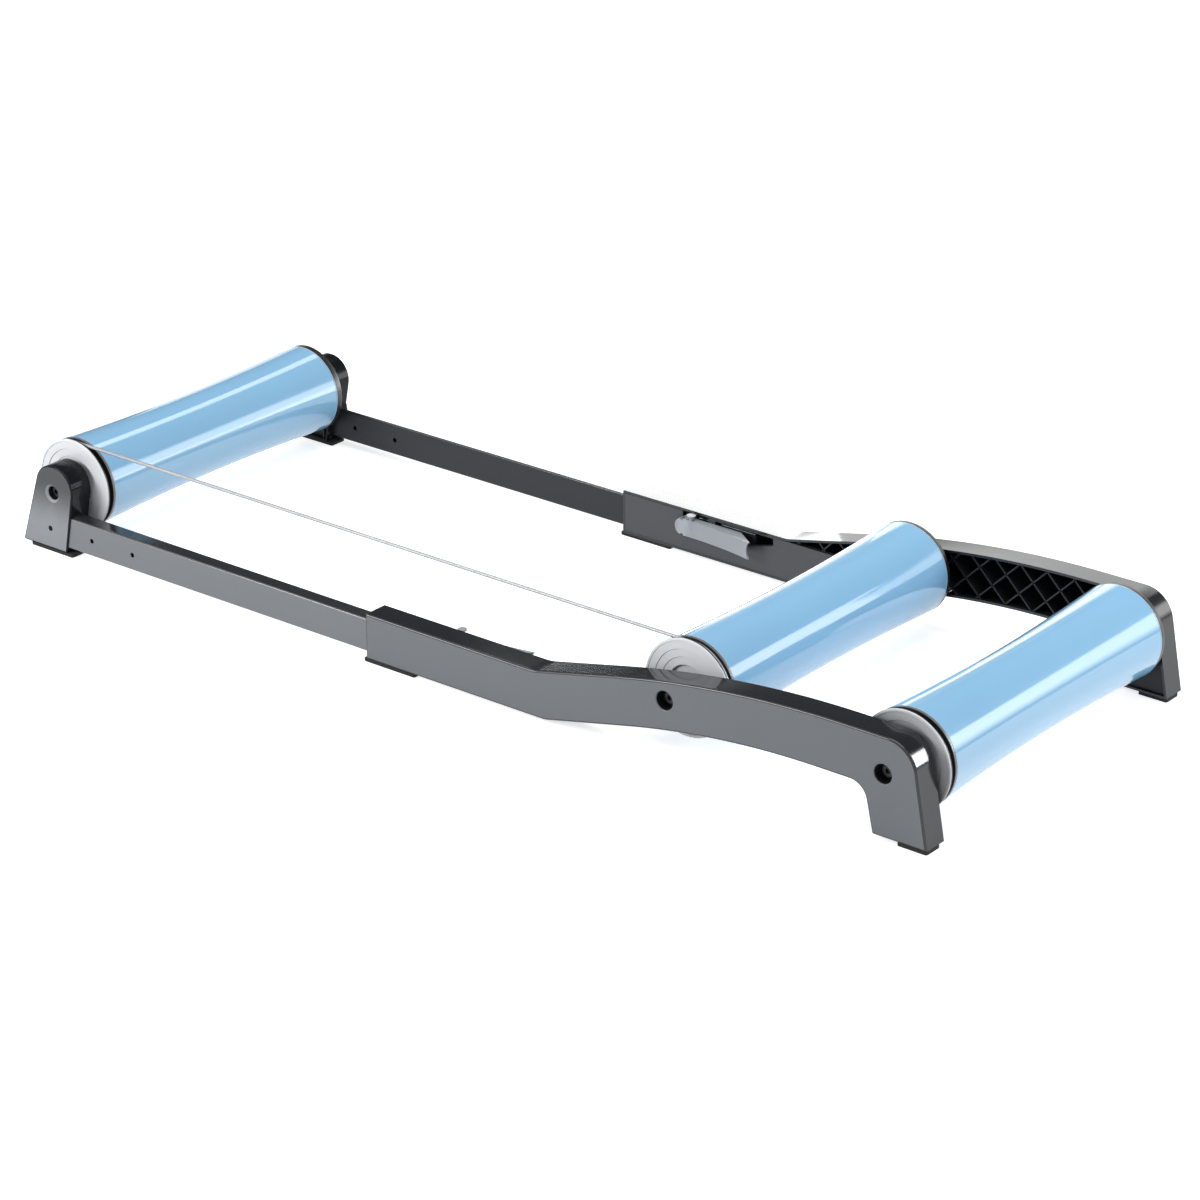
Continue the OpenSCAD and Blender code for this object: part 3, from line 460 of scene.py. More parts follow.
def plate_room(p):
    """The low room behind the plate's upper edge, where the ribs stand back from it."""
    return TOP_BEND < p.x < PLATE_END and CHANNEL_ROOF < p.y < PLATE_ROOM_TOP


def arched_moulding(place, corners, levels, wall, round_edge, holes):
    """A channel with a closed outer face: levels are its inner edge, the skin's back and the face.
    A hole has its place, the radii of its mouth and its recess, and its depth. Its lip is rounded
    when it is small, and a flat bevel when it is wide."""
    inner, back, face = levels
    form = Moulding(place)
    turns = [math.radians(18 * k) for k in range(6)]  # a quarter turn in five steps
    rings = [form.ring(outline(corners, round_edge + 0.4), face)]
    face_edge = rings[0]
    rings += [form.ring(outline(corners, round_edge * (1 - math.sin(t))),
                        face - round_edge * (1 - math.cos(t))) for t in turns]
    form.bridge(rings[0], rings[1], FACE)
    form.loft(rings[1:], EDGE)
    rim = [rings[-1]] + [form.ring(outline(corners, i), y) for i, y in (
        (0, face - round_edge - 0.5), (0, inner + 0.4), (0.4, inner), (wall - 0.4, inner),
        (wall, inner + 0.4), (wall, back - 1), (wall + 0.3, back - 0.3), (wall + 1, back))]
    form.loft(rim, EDGE)
    face_holes, back_holes = [], []
    for x, z, mouth, r, depth in holes:
        seat = face - depth
        floor = seat - RECESS_FLOOR
        lip = mouth - r
        if lip < LEAST_BEVEL:
            lip_kind = FACE
            lip_profile = [(mouth - lip * math.sin(t), face - lip * (1 - math.cos(t))) for t in turns]
            last = len(lip_profile) + 1
        else:
            lip_kind = BEVEL
            lip_profile = [(mouth, face), (r + 0.2, face - lip + 0.2)]
            last = len(lip_profile)
        profile = [(mouth + 0.4, face)] + lip_profile + [
            (r, face - lip - 0.4), (r, seat + 0.6), (r - 0.5, seat), (BOLT_HOLE_R, seat),
            (BOLT_HOLE_R, floor), (BORE_R, floor), (BORE_R, inner + 0.3), (BORE_R + 0.3, inner),
            (BOSS_R - 0.5, inner), (BOSS_R, inner + 0.5), (BOSS_R, back - 0.6), (BOSS_R + 0.6, back)]
        rings = [form.ring(circle(x, z, radius), y) for radius, y in profile]
        form.bridge(rings[0], rings[1], FACE)
        form.loft(rings[1:last + 1], lip_kind)
        form.loft(rings[last:], INSIDE)
        face_holes.append(rings[0])
        back_holes.append(rings[-1])
    form.fill([face_edge] + face_holes, FACE)
    form.fill([rim[-1]] + back_holes, INSIDE)
    return form


def on_middle(p, level):
    """A place given by its distance back from the middle axle, its height and its side."""
    return (MIDDLE_X - p.x, level, p.y)


beam_face = moulded_plastic("beam_face", (0.122, 0.134, 0.15), 0.45, grain=0.22, worn=0.35)
beam_edge = moulded_plastic("beam_edge", (0.014, 0.016, 0.019), 0.13, grain=0.0, worn=0.05,
                            specular=0.5, spread=0.02)
# painted shade: the right, far beam's rim plastic is a slightly darker, duller copy of the left's
far_edge_shaded = moulded_plastic("far_beam_edge_shaded", (0.012, 0.014, 0.017), 0.2, grain=0.012, worn=0.05,
                           specular=0.5, spread=0.03)
beam_inside = moulded_plastic("beam_inside", (0.01, 0.011, 0.013), 0.42, grain=0.15, specular=0.3)

# the shell, opened where the tube goes in and where its rear end comes out under the arch
shape = arched_moulding(
    on_middle, BEAM_CORNERS, (BEAM_IN, BEAM_OUT - BEAM_SKIN, BEAM_OUT), BEAM_FLANGE, BEAM_ROUND,
    [(b, AXLE_Z, BEAM_RECESS_MOUTH, BEAM_RECESS_R, BEAM_RECESS_DEPTH) for b in (0, PAIR_GAP)])
way_through = Moulding(on_middle)
for front, back in ((MOUTH_BACK - 7, MOUTH_BACK + 6), (BELLY_BEND - 3, 76)):
    way_through.block(front, back, CHANNEL_LOW, CHANNEL_HIGH, CHANNEL_IN, CHANNEL_OUT, INSIDE)
beam_shell = cut(shape.mesh("beam_shell"), way_through.mesh("way_through"))

# the shelf over the channel, two rails below the tube and two guide ribs beside it
inside = Moulding(on_middle)
inside.block(MOUTH_BACK + 0.5, SHELF_BACK, CHANNEL_HIGH, CHANNEL_HIGH + SHELF_THICK, TUBE_IN,
             BEAM_OUT - 2.5, INSIDE)
for y in (TUBE_IN + RAIL_SIDE_INSET, TUBE_OUT - RAIL_SIDE_INSET - RAIL_WIDE):
    inside.block(MOUTH_BACK + 2, BELLY_BEND, BEAM_LOW + 1.6, CHANNEL_LOW, y, y + RAIL_WIDE, INSIDE)
for z in (TUBE_LOW + RAIL_TOP_INSET, TUBE_HIGH - RAIL_TOP_INSET - RAIL_WIDE):
    inside.block(MOUTH_BACK + 2, BELLY_BEND, z, z + RAIL_WIDE, CHANNEL_OUT, BEAM_OUT - 2, INSIDE)

# the smooth panel that closes the leg's inner side
leg_panel = Moulding(on_middle)
leg_corners = [(b, z, LEG_PANEL_ROUND) for b, z in LEG_PANEL_CORNERS]
leg = [leg_panel.ring(outline(leg_corners, i), y)
       for i, y in ((0.4, LEG_PANEL_IN), (0, LEG_PANEL_IN + 0.4), (0, LEG_PANEL_OUT))]
leg_panel.loft(leg, INSIDE)
leg_panel.fill([leg[0]], INSIDE)
leg_panel.fill([leg[-1]], INSIDE)

ribs = rib_tree()
lattice = [ribs_on(clipped_lines(BEAM_CORNERS, RIB_INSET, room), ribs, inner, RIB_OUT, beam_inside)
           for room, inner in ((open_room, RIB_IN), (plate_room, PLATE_RIB_IN))]
for part in lattice:
    part.polygons.foreach_set("material_index", [INSIDE] * len(part.polygons))
beam_parts = [beam_shell, inside.mesh("inside"), leg_panel.mesh("leg_panel")] + lattice
for side, rim_plastic, flip in (("left", beam_edge, False), ("right", far_edge_shaded, True)):
    place_piece(side + "_beam_moulding", joined(side + "_beam_mesh", beam_parts), "rear_frame",
                [beam_face, rim_plastic, beam_inside], side + "_beam", mirrored=flip)

# Channel plates
# A flat plate in slightly lighter grey closes each tube channel. It keeps the lever's ear, the
# window for its cheeks and the finger pocket, and its edges are left as the tool made them.
# the plate's colour has painted shade, darkening within 12 mm of a wall: in the finger pocket, the
# window and the corners
plate_plastic = moulded_plastic("plate_plastic", (0.037, 0.041, 0.047), 0.45, grain=0.2, worn=0.25,
                                sharp_edges=True, deep=0.012)


def keep_node(name, material):
    """Keep the solid's own mesh, in this material."""
    nodes[name].data.materials.clear()
    nodes[name].data.materials.append(material)


for side in ("left", "right"):
    keep_node(side + "_channel_plate", plate_plastic)

# Feet
# Six black rubber pads, pushed up into the plastic by two pegs each. The rubber is matt, a
# little dusty, and its lower edges are rounded by use.
FOOT_HIGH, FOOT_ROUND = 4, 2.5
foot_rubber = moulded_plastic("foot_rubber", (0.012, 0.012, 0.012), 0.68, grain=0.5,
                              grain_scale=900, worn=0.3, specular=0.3)


def foot_mesh(node):
    """One pad as long and wide as its node, round-cornered, with two shallow grooves all round."""
    (x0, x1), (y0, y1) = span(node, 0), span(node, 1)
    form = Moulding(lambda p, level: (p.x, p.y, level))
    corners = [(x, y, FOOT_ROUND) for x, y in ((x0, y0), (x1, y0), (x1, y1), (x0, y1))]
    rings = [form.ring(outline(corners, i), z) for i, z in (
        (1.2, 0), (0.8, 0), (0.23, 0.23), (0, 0.8), (0, 1.6), (0.3, 1.8), (0, 2.0), (0, 2.7),
        (0.3, 2.9), (0, 3.1), (0, FOOT_HIGH - 0.1), (0.1, FOOT_HIGH))]
    form.loft(rings)
    form.fill([rings[0]])
    form.fill([rings[-1]])
    return form.mesh("foot")


for label, body in (("sleeve_foot", "rear_frame"), ("rear_foot", "rear_frame"),
                    ("front_foot", "front_frame")):
    for side in ("left", "right"):
        foot = f"{side}_{label}"
        place_piece(foot + "_pad", foot_mesh(foot), body, [foot_rubber], foot)

# Axles, bolts and spacers
# Turned steel axles with tapped ends, black-oxide socket bolts sunk in the recesses, and bright
# alloy spacers that keep the caps off the frame.


def turned_metal(name, colour, roughness):
    """Metal with lathe marks round the axle, a slow drift in gloss and a few darker patches."""
    material, tree, shader = new_material(name)
    new, link = tree.nodes.new, tree.links.new
    put(shader, Metallic=1.0)
    place, squeeze = new("ShaderNodeTexCoord"), new("ShaderNodeMapping")
    put(squeeze, Scale=(0.05, 1, 0.05))
    marks, slow = new("ShaderNodeTexNoise"), new("ShaderNodeTexNoise")
    put(marks, Scale=900, Detail=5)
    put(slow, Scale=60)
    link(place.outputs["Object"], squeeze.inputs["Vector"])
    link(squeeze.outputs["Vector"], marks.inputs["Vector"])
    link(place.outputs["Object"], slow.inputs["Vector"])
    tint = new("ShaderNodeMix")
    tint.data_type = "RGBA"
    put(tint, A=tone(colour, 0.82), B=tone(colour, 1.1))
    link(slow.outputs["Fac"], tint.inputs["Factor"])
    link(tint.outputs["Result"], shader.inputs["Base Color"])
    gloss = new("ShaderNodeMapRange")
    put(gloss, To_Min=roughness - 0.08, To_Max=roughness + 0.1)
    link(marks.outputs["Fac"], gloss.inputs["Value"])
    link(gloss.outputs["Result"], shader.inputs["Roughness"])
    bump = new("ShaderNodeBump")
    put(bump, Strength=0.25, Distance=0.0002)
    link(marks.outputs["Fac"], bump.inputs["Height"])
    link(bump.outputs["Normal"], shader.inputs["Normal"])
    return material


axle_steel = turned_metal("axle_steel", (0.5, 0.5, 0.51), 0.3)
bolt_oxide = turned_metal("bolt_oxide", (0.045, 0.045, 0.05), 0.34)
spacer_alloy = turned_metal("spacer_alloy", (0.62, 0.63, 0.65), 0.32)
for place in ("front", "middle", "rear"):
    keep_node(place + "_axle", axle_steel)
    keep_node(place + "_axle_bolts", bolt_oxide)
    keep_node(place + "_axle_spacers", spacer_alloy)

# Tubes
# Rectangular steel tubes, bent to a 2.5 mm corner and powder-coated dark grey. Three holes run
# through both walls at the front. A black plastic plug closes and guides each rear end.
TUBE_REAR, TUBE_FRONT = span("left_tube", 0)
TUBE_WALL, TUBE_ROUND, TUBE_BREAK = 1.5, 2.5, 0.25
HOLE_X, HOLE_Z, HOLE_R = (600, 534, 468), 29.4, 3
left_paint = moulded_plastic("left_paint", (0.13, 0.141, 0.154), 0.4, grain=0.3, grain_scale=1500,
                             worn=0.15)
# painted shade: both tubes have one powder coat, but the right, far tube's copy of it is much darker
right_paint_shaded = moulded_plastic("right_paint_shaded", (0.015, 0.017, 0.02), 0.4, grain=0.3, grain_scale=1500,
                              worn=0.15, specular=0.25)
# the tops and bottoms take a glossier copy of the coat, much darker as painted shade
tube_gloss_shaded = moulded_plastic("tube_gloss_shaded", (0.02, 0.022, 0.025), 0.15, grain=0.1, grain_scale=1500,
                             worn=0.1, specular=0.9, spread=0.03)
plug_plastic = moulded_plastic("plug_plastic", (0.02, 0.02, 0.022), 0.4, worn=0.2, sharp_edges=True)


def tube_mesh():
    """The drilled tube: painted sides, and a top and bottom in a glossier copy of the paint, darker as
    painted shade.
    """
    form = Moulding(lambda p, level: (level, p.x, p.y))
    corners = [(y, z, TUBE_ROUND) for y, z in ((TUBE_IN, TUBE_LOW), (TUBE_OUT, TUBE_LOW),
                                               (TUBE_OUT, TUBE_HIGH), (TUBE_IN, TUBE_HIGH))]
    outer = [form.ring(outline(corners, i), x) for i, x in (
        (TUBE_BREAK, TUBE_REAR), (0, TUBE_REAR + TUBE_BREAK), (0, TUBE_FRONT - TUBE_BREAK),
        (TUBE_BREAK, TUBE_FRONT))]
    inner = [form.ring(outline(corners, TUBE_WALL), x) for x in (TUBE_FRONT, TUBE_REAR)]
    form.loft(outer + inner + [outer[0]])
    drill = Moulding(lambda p, level: (p.x, level, p.y))
    for x in HOLE_X:
        ends = [drill.ring(circle(x, HOLE_Z, HOLE_R, 32), y) for y in (TUBE_IN - 3, TUBE_OUT + 3)]
        drill.loft(ends)
        drill.fill([ends[0]])
        drill.fill([ends[1]])
    tube = cut(form.mesh("tube"), drill.mesh("drill"))
    # painted shade: faces that look up or down take the darker copy
    for face in tube.polygons:
        face.material_index = 1 if abs(face.normal.z) > 0.5 else 0
    return tube


bare_tube = tube_mesh()
for side, paint, flip in (("left", left_paint, False), ("right", right_paint_shaded, True)):
    place_piece(side + "_tube_section", bare_tube.copy(), "front_frame", [paint, tube_gloss_shaded],
                side + "_tube", mirrored=flip)
keep_node("tube_end_plugs", plug_plastic)

# Front brackets
# Arch-topped mouldings, hollow on the inner side, pushed on to the tubes and held by one black
# screw. The bolt's recess has a wide light bevel; the rim between face and side is polished.
BRACKET_IN, BRACKET_OUT = span("left_bracket", 1)
BRACKET_LOW, BRACKET_HIGH = span("left_bracket", 2)
BRACKET_SKIN, BRACKET_WALL, BRACKET_ROUND = 2.2, 3, 1.8
BRACKET_CORNERS = [
    # back from the front axle, height, radius; anticlockwise
    (-53, BRACKET_LOW, 2), (19, BRACKET_LOW, 2), (38.55, BRACKET_HIGH, 28), (-19.3, BRACKET_HIGH, 28),
]
RECESS_MOUTH_R, RECESS_R, RECESS_DEPTH = 11, 8.3, 12
SCREW_SEAT_R, SCREW_SEAT_DEPTH = 3.4, 1
# the tube's end is pushed through the shell's heel into a socket of three walls with two ribs;
# fronts and backs are measured back from the front axle
PUSH_FIT, HEEL_FRONT, HEEL_BACK = 0.05, 12, 36
SOCKET_FRONT, SOCKET_ROOF_BACK, SOCKET_SIDE_BACK = -32.6, 23, 20
SOCKET_LOW, SOCKET_ROOF, SOCKET_TOP = 5, 49.87, 52.4
SOCKET_IN, SOCKET_SIDE, SOCKET_OUT = 218.1, 220.62, 241.5
SOCKET_RIBS, SOCKET_RIB_IN, SOCKET_RIB_TOP, SOCKET_RIB_THICK = (-18, 12), 213.5, 75, 2


def on_front(p, level):
    """A place given by its distance back from the front axle, its height and its side."""
    return (FRONT_X - p.x, level, p.y)


# painted light and shade: the face keeps its colour below 3 cm and darkens to 13 % of it above 9 cm
bracket_face = moulded_plastic("bracket_face", (0.2, 0.214, 0.232), 0.42, grain=0.2, worn=0.4,
                               fade=(0.09, 0.03, 0.13))
bracket_edge = moulded_plastic("bracket_edge", (0.009, 0.011, 0.013), 0.14, grain=0.015, worn=0.05,
                               specular=0.12, spread=0.03)
recess_bevel = moulded_plastic("recess_bevel", (0.3, 0.32, 0.34), 0.35, grain=0.08)

# the arch-topped shell, opened behind for the tube and sunk a little for the screw's head
shape = arched_moulding(
    on_front, BRACKET_CORNERS, (BRACKET_IN, BRACKET_OUT - BRACKET_SKIN, BRACKET_OUT),
    BRACKET_WALL, BRACKET_ROUND, [(0, AXLE_Z, RECESS_MOUTH_R, RECESS_R, RECESS_DEPTH)])
heel = Moulding(on_front)
heel.block(HEEL_FRONT, HEEL_BACK, TUBE_LOW - PUSH_FIT, TUBE_HIGH + PUSH_FIT,
           TUBE_IN - PUSH_FIT, TUBE_OUT + PUSH_FIT, INSIDE, edge=0.02)
screw_seat = [heel.ring(circle(FRONT_X - HOLE_X[0], HOLE_Z, SCREW_SEAT_R, 40), y)
              for y in (BRACKET_OUT - SCREW_SEAT_DEPTH, BRACKET_OUT + 1)]
heel.loft(screw_seat, INSIDE)
heel.fill([screw_seat[0]], INSIDE)
heel.fill([screw_seat[1]], INSIDE)
bracket_shell = cut(shape.mesh("bracket_shell"), heel.mesh("heel"))

socket = Moulding(on_front)
tube_end = FRONT_X - TUBE_FRONT - PUSH_FIT
for back, low, out in ((tube_end, SOCKET_LOW, SOCKET_OUT),
                       (SOCKET_ROOF_BACK, SOCKET_ROOF, SOCKET_OUT),
                       (SOCKET_SIDE_BACK, SOCKET_LOW, SOCKET_SIDE)):
    socket.block(SOCKET_FRONT, back, low, SOCKET_TOP, SOCKET_IN, out, INSIDE)
for rib in SOCKET_RIBS:
    for low, top, out in ((SOCKET_TOP - 0.4, SOCKET_RIB_TOP, SOCKET_OUT),
                          (SOCKET_LOW, SOCKET_TOP - 0.4, SOCKET_IN + 0.4)):
        socket.block(rib, rib + SOCKET_RIB_THICK, low, top, SOCKET_RIB_IN, out, INSIDE)
bracket_parts = [bracket_shell, socket.mesh("socket")]
for side, flip in (("left", False), ("right", True)):
    place_piece(side + "_bracket_moulding", joined(side + "_bracket_mesh", bracket_parts),
                "front_frame", [bracket_face, bracket_edge, beam_inside, recess_bevel],
                side + "_bracket", mirrored=flip)
screw_black = moulded_plastic("screw_black", (0.004, 0.004, 0.004), 0.6, grain=0.1, specular=0.1)
keep_node("bracket_screws", screw_black)

# Rollers
# Each drum is a waisted tube in glossy light blue plastic, turned true and polished, with a cap
# pressed in at either end: a light grey one with the belt groove on the left, a black one on the
# right. A sealed bearing sits in each cap.
ROLLER_HALF, CAP_FACE = -span("front_end_cap", 1)[0], span("front_pulley_cap", 1)[1]
END_R, CAP_RIM_R = (span(cap, 2)[1] - AXLE_Z for cap in ("front_end_cap", "front_pulley_cap"))
SHELL_LEFT = span("front_shell", 1)[1]
SHELL_RIGHT = {"front": -195, "middle": -197.8, "rear": -197.8}
WAIST_R, SHELL_WALL, SPIGOT_SEAT, GROOVE_Y, GROOVE_R = 50, 3.2, 13, 199, 48.7
SPIGOT_R, SPIGOT_BORE_R, SPIGOT_DEEP, WEB_BACK, WEB_R = 51.78, 49.2, 11, 200.5, 45.2
CAP_STEPS = ((53, 0.5), (44, 1.2), (35, 1.9))  # the radius of each, and the face's depth inside it
WELL_R, BEARING_R, HUB_R, HUB_STEP_R = 25.6, 14, 11, 18
FACETS, SHELL_STEPS = 192, 64


def revolve(form, x, loop):
    """Turn a closed loop of (radius, distance to the left, material) about the axle."""
    rings = [form.ring(circle(x, AXLE_Z, r, FACETS), y) for r, y, kind in loop]
    for (r, y, kind), ring, following in zip(loop, rings, rings[1:] + rings[:1]):
        form.bridge(ring, following, kind)


def drum_r(y, right):
    """Radius of the waisted drum at y, when its shell ends at right."""
    middle, half = (SHELL_LEFT + right) / 2, (SHELL_LEFT - right) / 2
    return WAIST_R + (END_R - WAIST_R) * ((y - middle) / half) ** 2


def shell_loop(right):
    """Section of a shell: its waisted outside, and its bore with a straight seat at either end."""
    run = SHELL_LEFT - right
    bore = END_R - SHELL_WALL
    loop = [(drum_r(right + 0.5, right) - 0.45, right, 0)]
    for k in range(SHELL_STEPS + 1):
        y = right + 0.5 + (run - 1) * k / SHELL_STEPS
        loop.append((drum_r(y, right), y, 0))
    loop += [(END_R - 0.45, SHELL_LEFT, 0), (bore, SHELL_LEFT, 1),
             (bore, SHELL_LEFT - SPIGOT_SEAT, 1)]
    for k in range(SHELL_STEPS, -1, -4):
        y = right + SPIGOT_SEAT + (run - 2 * SPIGOT_SEAT) * k / SHELL_STEPS
        loop.append((drum_r(y, right) - SHELL_WALL, y, 1))
    return loop + [(bore, right + SPIGOT_SEAT, 1), (bore, right, 1)]


def dish(face, end, kind, ring_kind):
    """The stepped dish of a cap and its bearing pocket, from the rim to the hub."""
    pocket, back = end - 3, end - 11
    loop = []
    low = face
    for r, drop in CAP_STEPS:
        loop += [(r, low, ring_kind), (r - 0.35, face - drop, kind)]
        low = face - drop
    return loop + [(WELL_R + 0.4, low, kind), (WELL_R, low - 0.4, ring_kind),
                   (WELL_R, pocket + 0.02, kind), (BEARING_R, pocket + 0.02, kind),
                   (BEARING_R, back, kind), (HUB_R, back, kind), (HUB_R, back - 2, kind),
                   (HUB_STEP_R, back - 2, kind), (HUB_STEP_R, pocket - 1.5, kind)]


def pulley_cap_loop():
    """Section of a left cap: pale 0, its groove 1; its face's fine steps 2 and its lip 3 have painted
    shade.
    """
    return dish(CAP_FACE, ROLLER_HALF, 0, 2) + [
        (WEB_R, WEB_BACK, 0), (WEB_R, SHELL_LEFT - 3, 0), (SPIGOT_BORE_R, SHELL_LEFT - 3, 0),
        (SPIGOT_BORE_R, SHELL_LEFT - SPIGOT_DEEP, 0), (SPIGOT_R, SHELL_LEFT - SPIGOT_DEEP, 0),
        (SPIGOT_R, SHELL_LEFT, 0), (END_R - 0.4, SHELL_LEFT, 3), (END_R, SHELL_LEFT + 0.4, 3),
        (END_R, GROOVE_Y - 3.3, 3), (END_R - 0.5, GROOVE_Y - 2.8, 1),
        (GROOVE_R, GROOVE_Y - 1.9, 1), (GROOVE_R, GROOVE_Y + 2.2, 1),
        (CAP_RIM_R - 0.6, GROOVE_Y + 3.9, 1), (CAP_RIM_R, GROOVE_Y + 4.5, 1),
        (CAP_RIM_R, CAP_FACE - 1.8, 0), (CAP_RIM_R, CAP_FACE - 0.7, 0),
        (CAP_RIM_R - 0.2, CAP_FACE - 0.25, 0), (CAP_RIM_R - 0.7, CAP_FACE, 0)]


def end_cap_loop(lip):
    """Section of a right cap: black 0, and a painted highlight 1, a light line at its lip, where the
    shell ends.
    """
    loop = dish(ROLLER_HALF, ROLLER_HALF, 0, 0) + [
        (SPIGOT_BORE_R, WEB_BACK, 0), (SPIGOT_BORE_R, lip - SPIGOT_DEEP, 0),
        (SPIGOT_R, lip - SPIGOT_DEEP, 0), (SPIGOT_R, lip, 0), (END_R - 0.3, lip, 1),
        (END_R, lip + 0.3, 1), (END_R, lip + 1, 0), (END_R, ROLLER_HALF - 1.5, 0),
        (END_R - 0.45, ROLLER_HALF - 0.45, 0), (END_R - 1.5, ROLLER_HALF, 0)]
    return [(r, -y, kind) for r, y, kind in loop]


def drum_plastic():
    """Glossy blue: a clear skin over slightly cloudy colour, with faint turning rings."""
    material = moulded_plastic("drum_blue", (0.285, 0.55, 0.8), 0.1, grain=0.01,
                               grain_scale=120, drift=0.03, spread=0.02, coat=0.4)
    tree = material.node_tree
    new, link = tree.nodes.new, tree.links.new
    place, squeeze = new("ShaderNodeTexCoord"), new("ShaderNodeMapping")
    rings = new("ShaderNodeTexNoise")
    put(squeeze, Scale=(0.02, 1, 0.02))
    put(rings, Scale=260, Detail=4)
    second = new("ShaderNodeBump")
    put(second, Strength=0.015, Distance=0.0003)
    link(place.outputs["Object"], squeeze.inputs["Vector"])
    link(squeeze.outputs["Vector"], rings.inputs["Vector"])
    link(rings.outputs["Fac"], second.inputs["Height"])
    link(tree.nodes["Bump"].outputs["Normal"], second.inputs["Normal"])
    link(second.outputs["Normal"], tree.nodes["Principled BSDF"].inputs["Normal"])
    return material


drum_blue = drum_plastic()
drum_bore = moulded_plastic("drum_bore", (0.16, 0.37, 0.62), 0.5)
cap_pale = moulded_plastic("cap_pale", (0.68, 0.7, 0.73), 0.34, grain=0.14, worn=0.1)
# the rear cap's copy of the pale plastic has painted shade, darkest near walls such as the beam beside
# it
cap_painted_shade = moulded_plastic("cap_painted_shade", (0.68, 0.7, 0.73), 0.34, grain=0.14, worn=0.1, deep=0.12)
cap_groove = moulded_plastic("cap_groove", (0.012, 0.012, 0.013), 0.4)
# painted shade: the pale cap's step walls and its lip are darker copies of its plastic
cap_step_shade = moulded_plastic("cap_step_shade", (0.34, 0.35, 0.37), 0.4)
cap_lip_shade = moulded_plastic("cap_lip_shade", (0.16, 0.168, 0.18), 0.25)
cap_black = moulded_plastic("cap_black", (0.012, 0.012, 0.013), 0.35, worn=0.1)
# a painted highlight: the light line along the black cap's lip
cap_rim_highlight = moulded_plastic("cap_rim_highlight", (0.5, 0.52, 0.55), 0.25)
bearing_steel = turned_metal("bearing_steel", (0.6, 0.6, 0.62), 0.25)

for place, x, left_plastic in (("front", FRONT_X, cap_pale), ("middle", MIDDLE_X, cap_pale),
                               ("rear", REAR_X, cap_painted_shade)):
    for label, loop, looks, slot in (
            ("shell", shell_loop(SHELL_RIGHT[place]), [drum_blue, drum_bore], "blue_shell"),
            ("pulley_cap", pulley_cap_loop(), [left_plastic, cap_groove, cap_step_shade, cap_lip_shade],
             "pale_cap"),
            ("end_cap", end_cap_loop(-SHELL_RIGHT[place]), [cap_black, cap_rim_highlight], "dark_plastic")):
        form = Moulding(lambda p, level: (p.x, level, p.y))
        revolve(form, x, loop)
        place_piece(f"{place}_{label}_turned", form.mesh(label), place + "_roller", looks,
                    f"{place}_{label}", sharp=28)
    keep_node(place + "_bearings", bearing_steel)

# Clamp levers
# Light grey cam levers that lock the tubes. Each is a thin-walled channel, open to the beam, on a
# steel pin between the ears of the plate, with a headed rivet on top.
LEVER_ROUND = 0.5
lever_grey = moulded_plastic("lever_grey", (0.27, 0.29, 0.315), 0.36, grain=0.12, worn=0.35)
pad_black = moulded_plastic("pad_black", (0.02, 0.02, 0.022), 0.45, worn=0.2, sharp_edges=True)
pin_steel = turned_metal("pin_steel", (0.5, 0.5, 0.52), 0.3)


def rounded_lever(name):
    """A copy of a lever's mesh with its edges rounded off as the mould leaves them."""
    mesh = nodes[name].data.copy()
    mesh.transform(nodes[name].matrix_world)
    work = bmesh.new()
    work.from_mesh(mesh)
    bmesh.ops.remove_doubles(work, verts=work.verts, dist=1e-6)
    bmesh.ops.dissolve_limit(work, angle_limit=math.radians(0.5), verts=work.verts,
                             edges=work.edges)
    work.to_mesh(mesh)
    work.free()
    piece = place_piece(name + "_arm", mesh, name, [lever_grey], name, sharp=25)
    soften = piece.modifiers.new("rounded_edges", "BEVEL")
    soften.width, soften.segments, soften.limit_method = LEVER_ROUND * MM, 3, "ANGLE"
    soften.angle_limit = math.radians(40)
    soften.harden_normals = True


for side in ("left", "right"):
    rounded_lever(side + "_lever")
    keep_node(side + "_lever_pin", pin_steel)
    keep_node(side + "_pressure_pad", pad_black)

# Drive belt
# An endless round belt of cloudy urethane, 4 mm thick, in the grooves of the front and middle
# caps. The real belt is stretched a little when the front frame is pulled out; here it is one fixed
# mesh.
BELT_R, BELT_THICK, BELT_SIDES = 51, 4, 18
BELT_ARC_STEPS, BELT_RUN_STEPS = 48, 30
BELT_CORE, BELT_EDGE_SHADE = (0.5, 0.52, 0.545), (0.1, 0.104, 0.11)
belt_clear = moulded_plastic("belt_clear", BELT_CORE, 0.22, grain=0.04, coat=0.3)
# painted shade: the cord's base colour darkens where it is seen edge on
belt_nodes = belt_clear.node_tree.nodes
turn, edge_shade = belt_nodes.new("ShaderNodeLayerWeight"), belt_nodes.new("ShaderNodeMix")
edge_shade.data_type = "RGBA"
put(turn, Blend=0.45)
put(edge_shade, A=tone(BELT_CORE), B=tone(BELT_EDGE_SHADE))
belt_clear.node_tree.links.new(turn.outputs["Facing"], edge_shade.inputs["Factor"])
belt_clear.node_tree.links.new(edge_shade.outputs["Result"],
                               belt_nodes["Principled BSDF"].inputs["Base Color"])


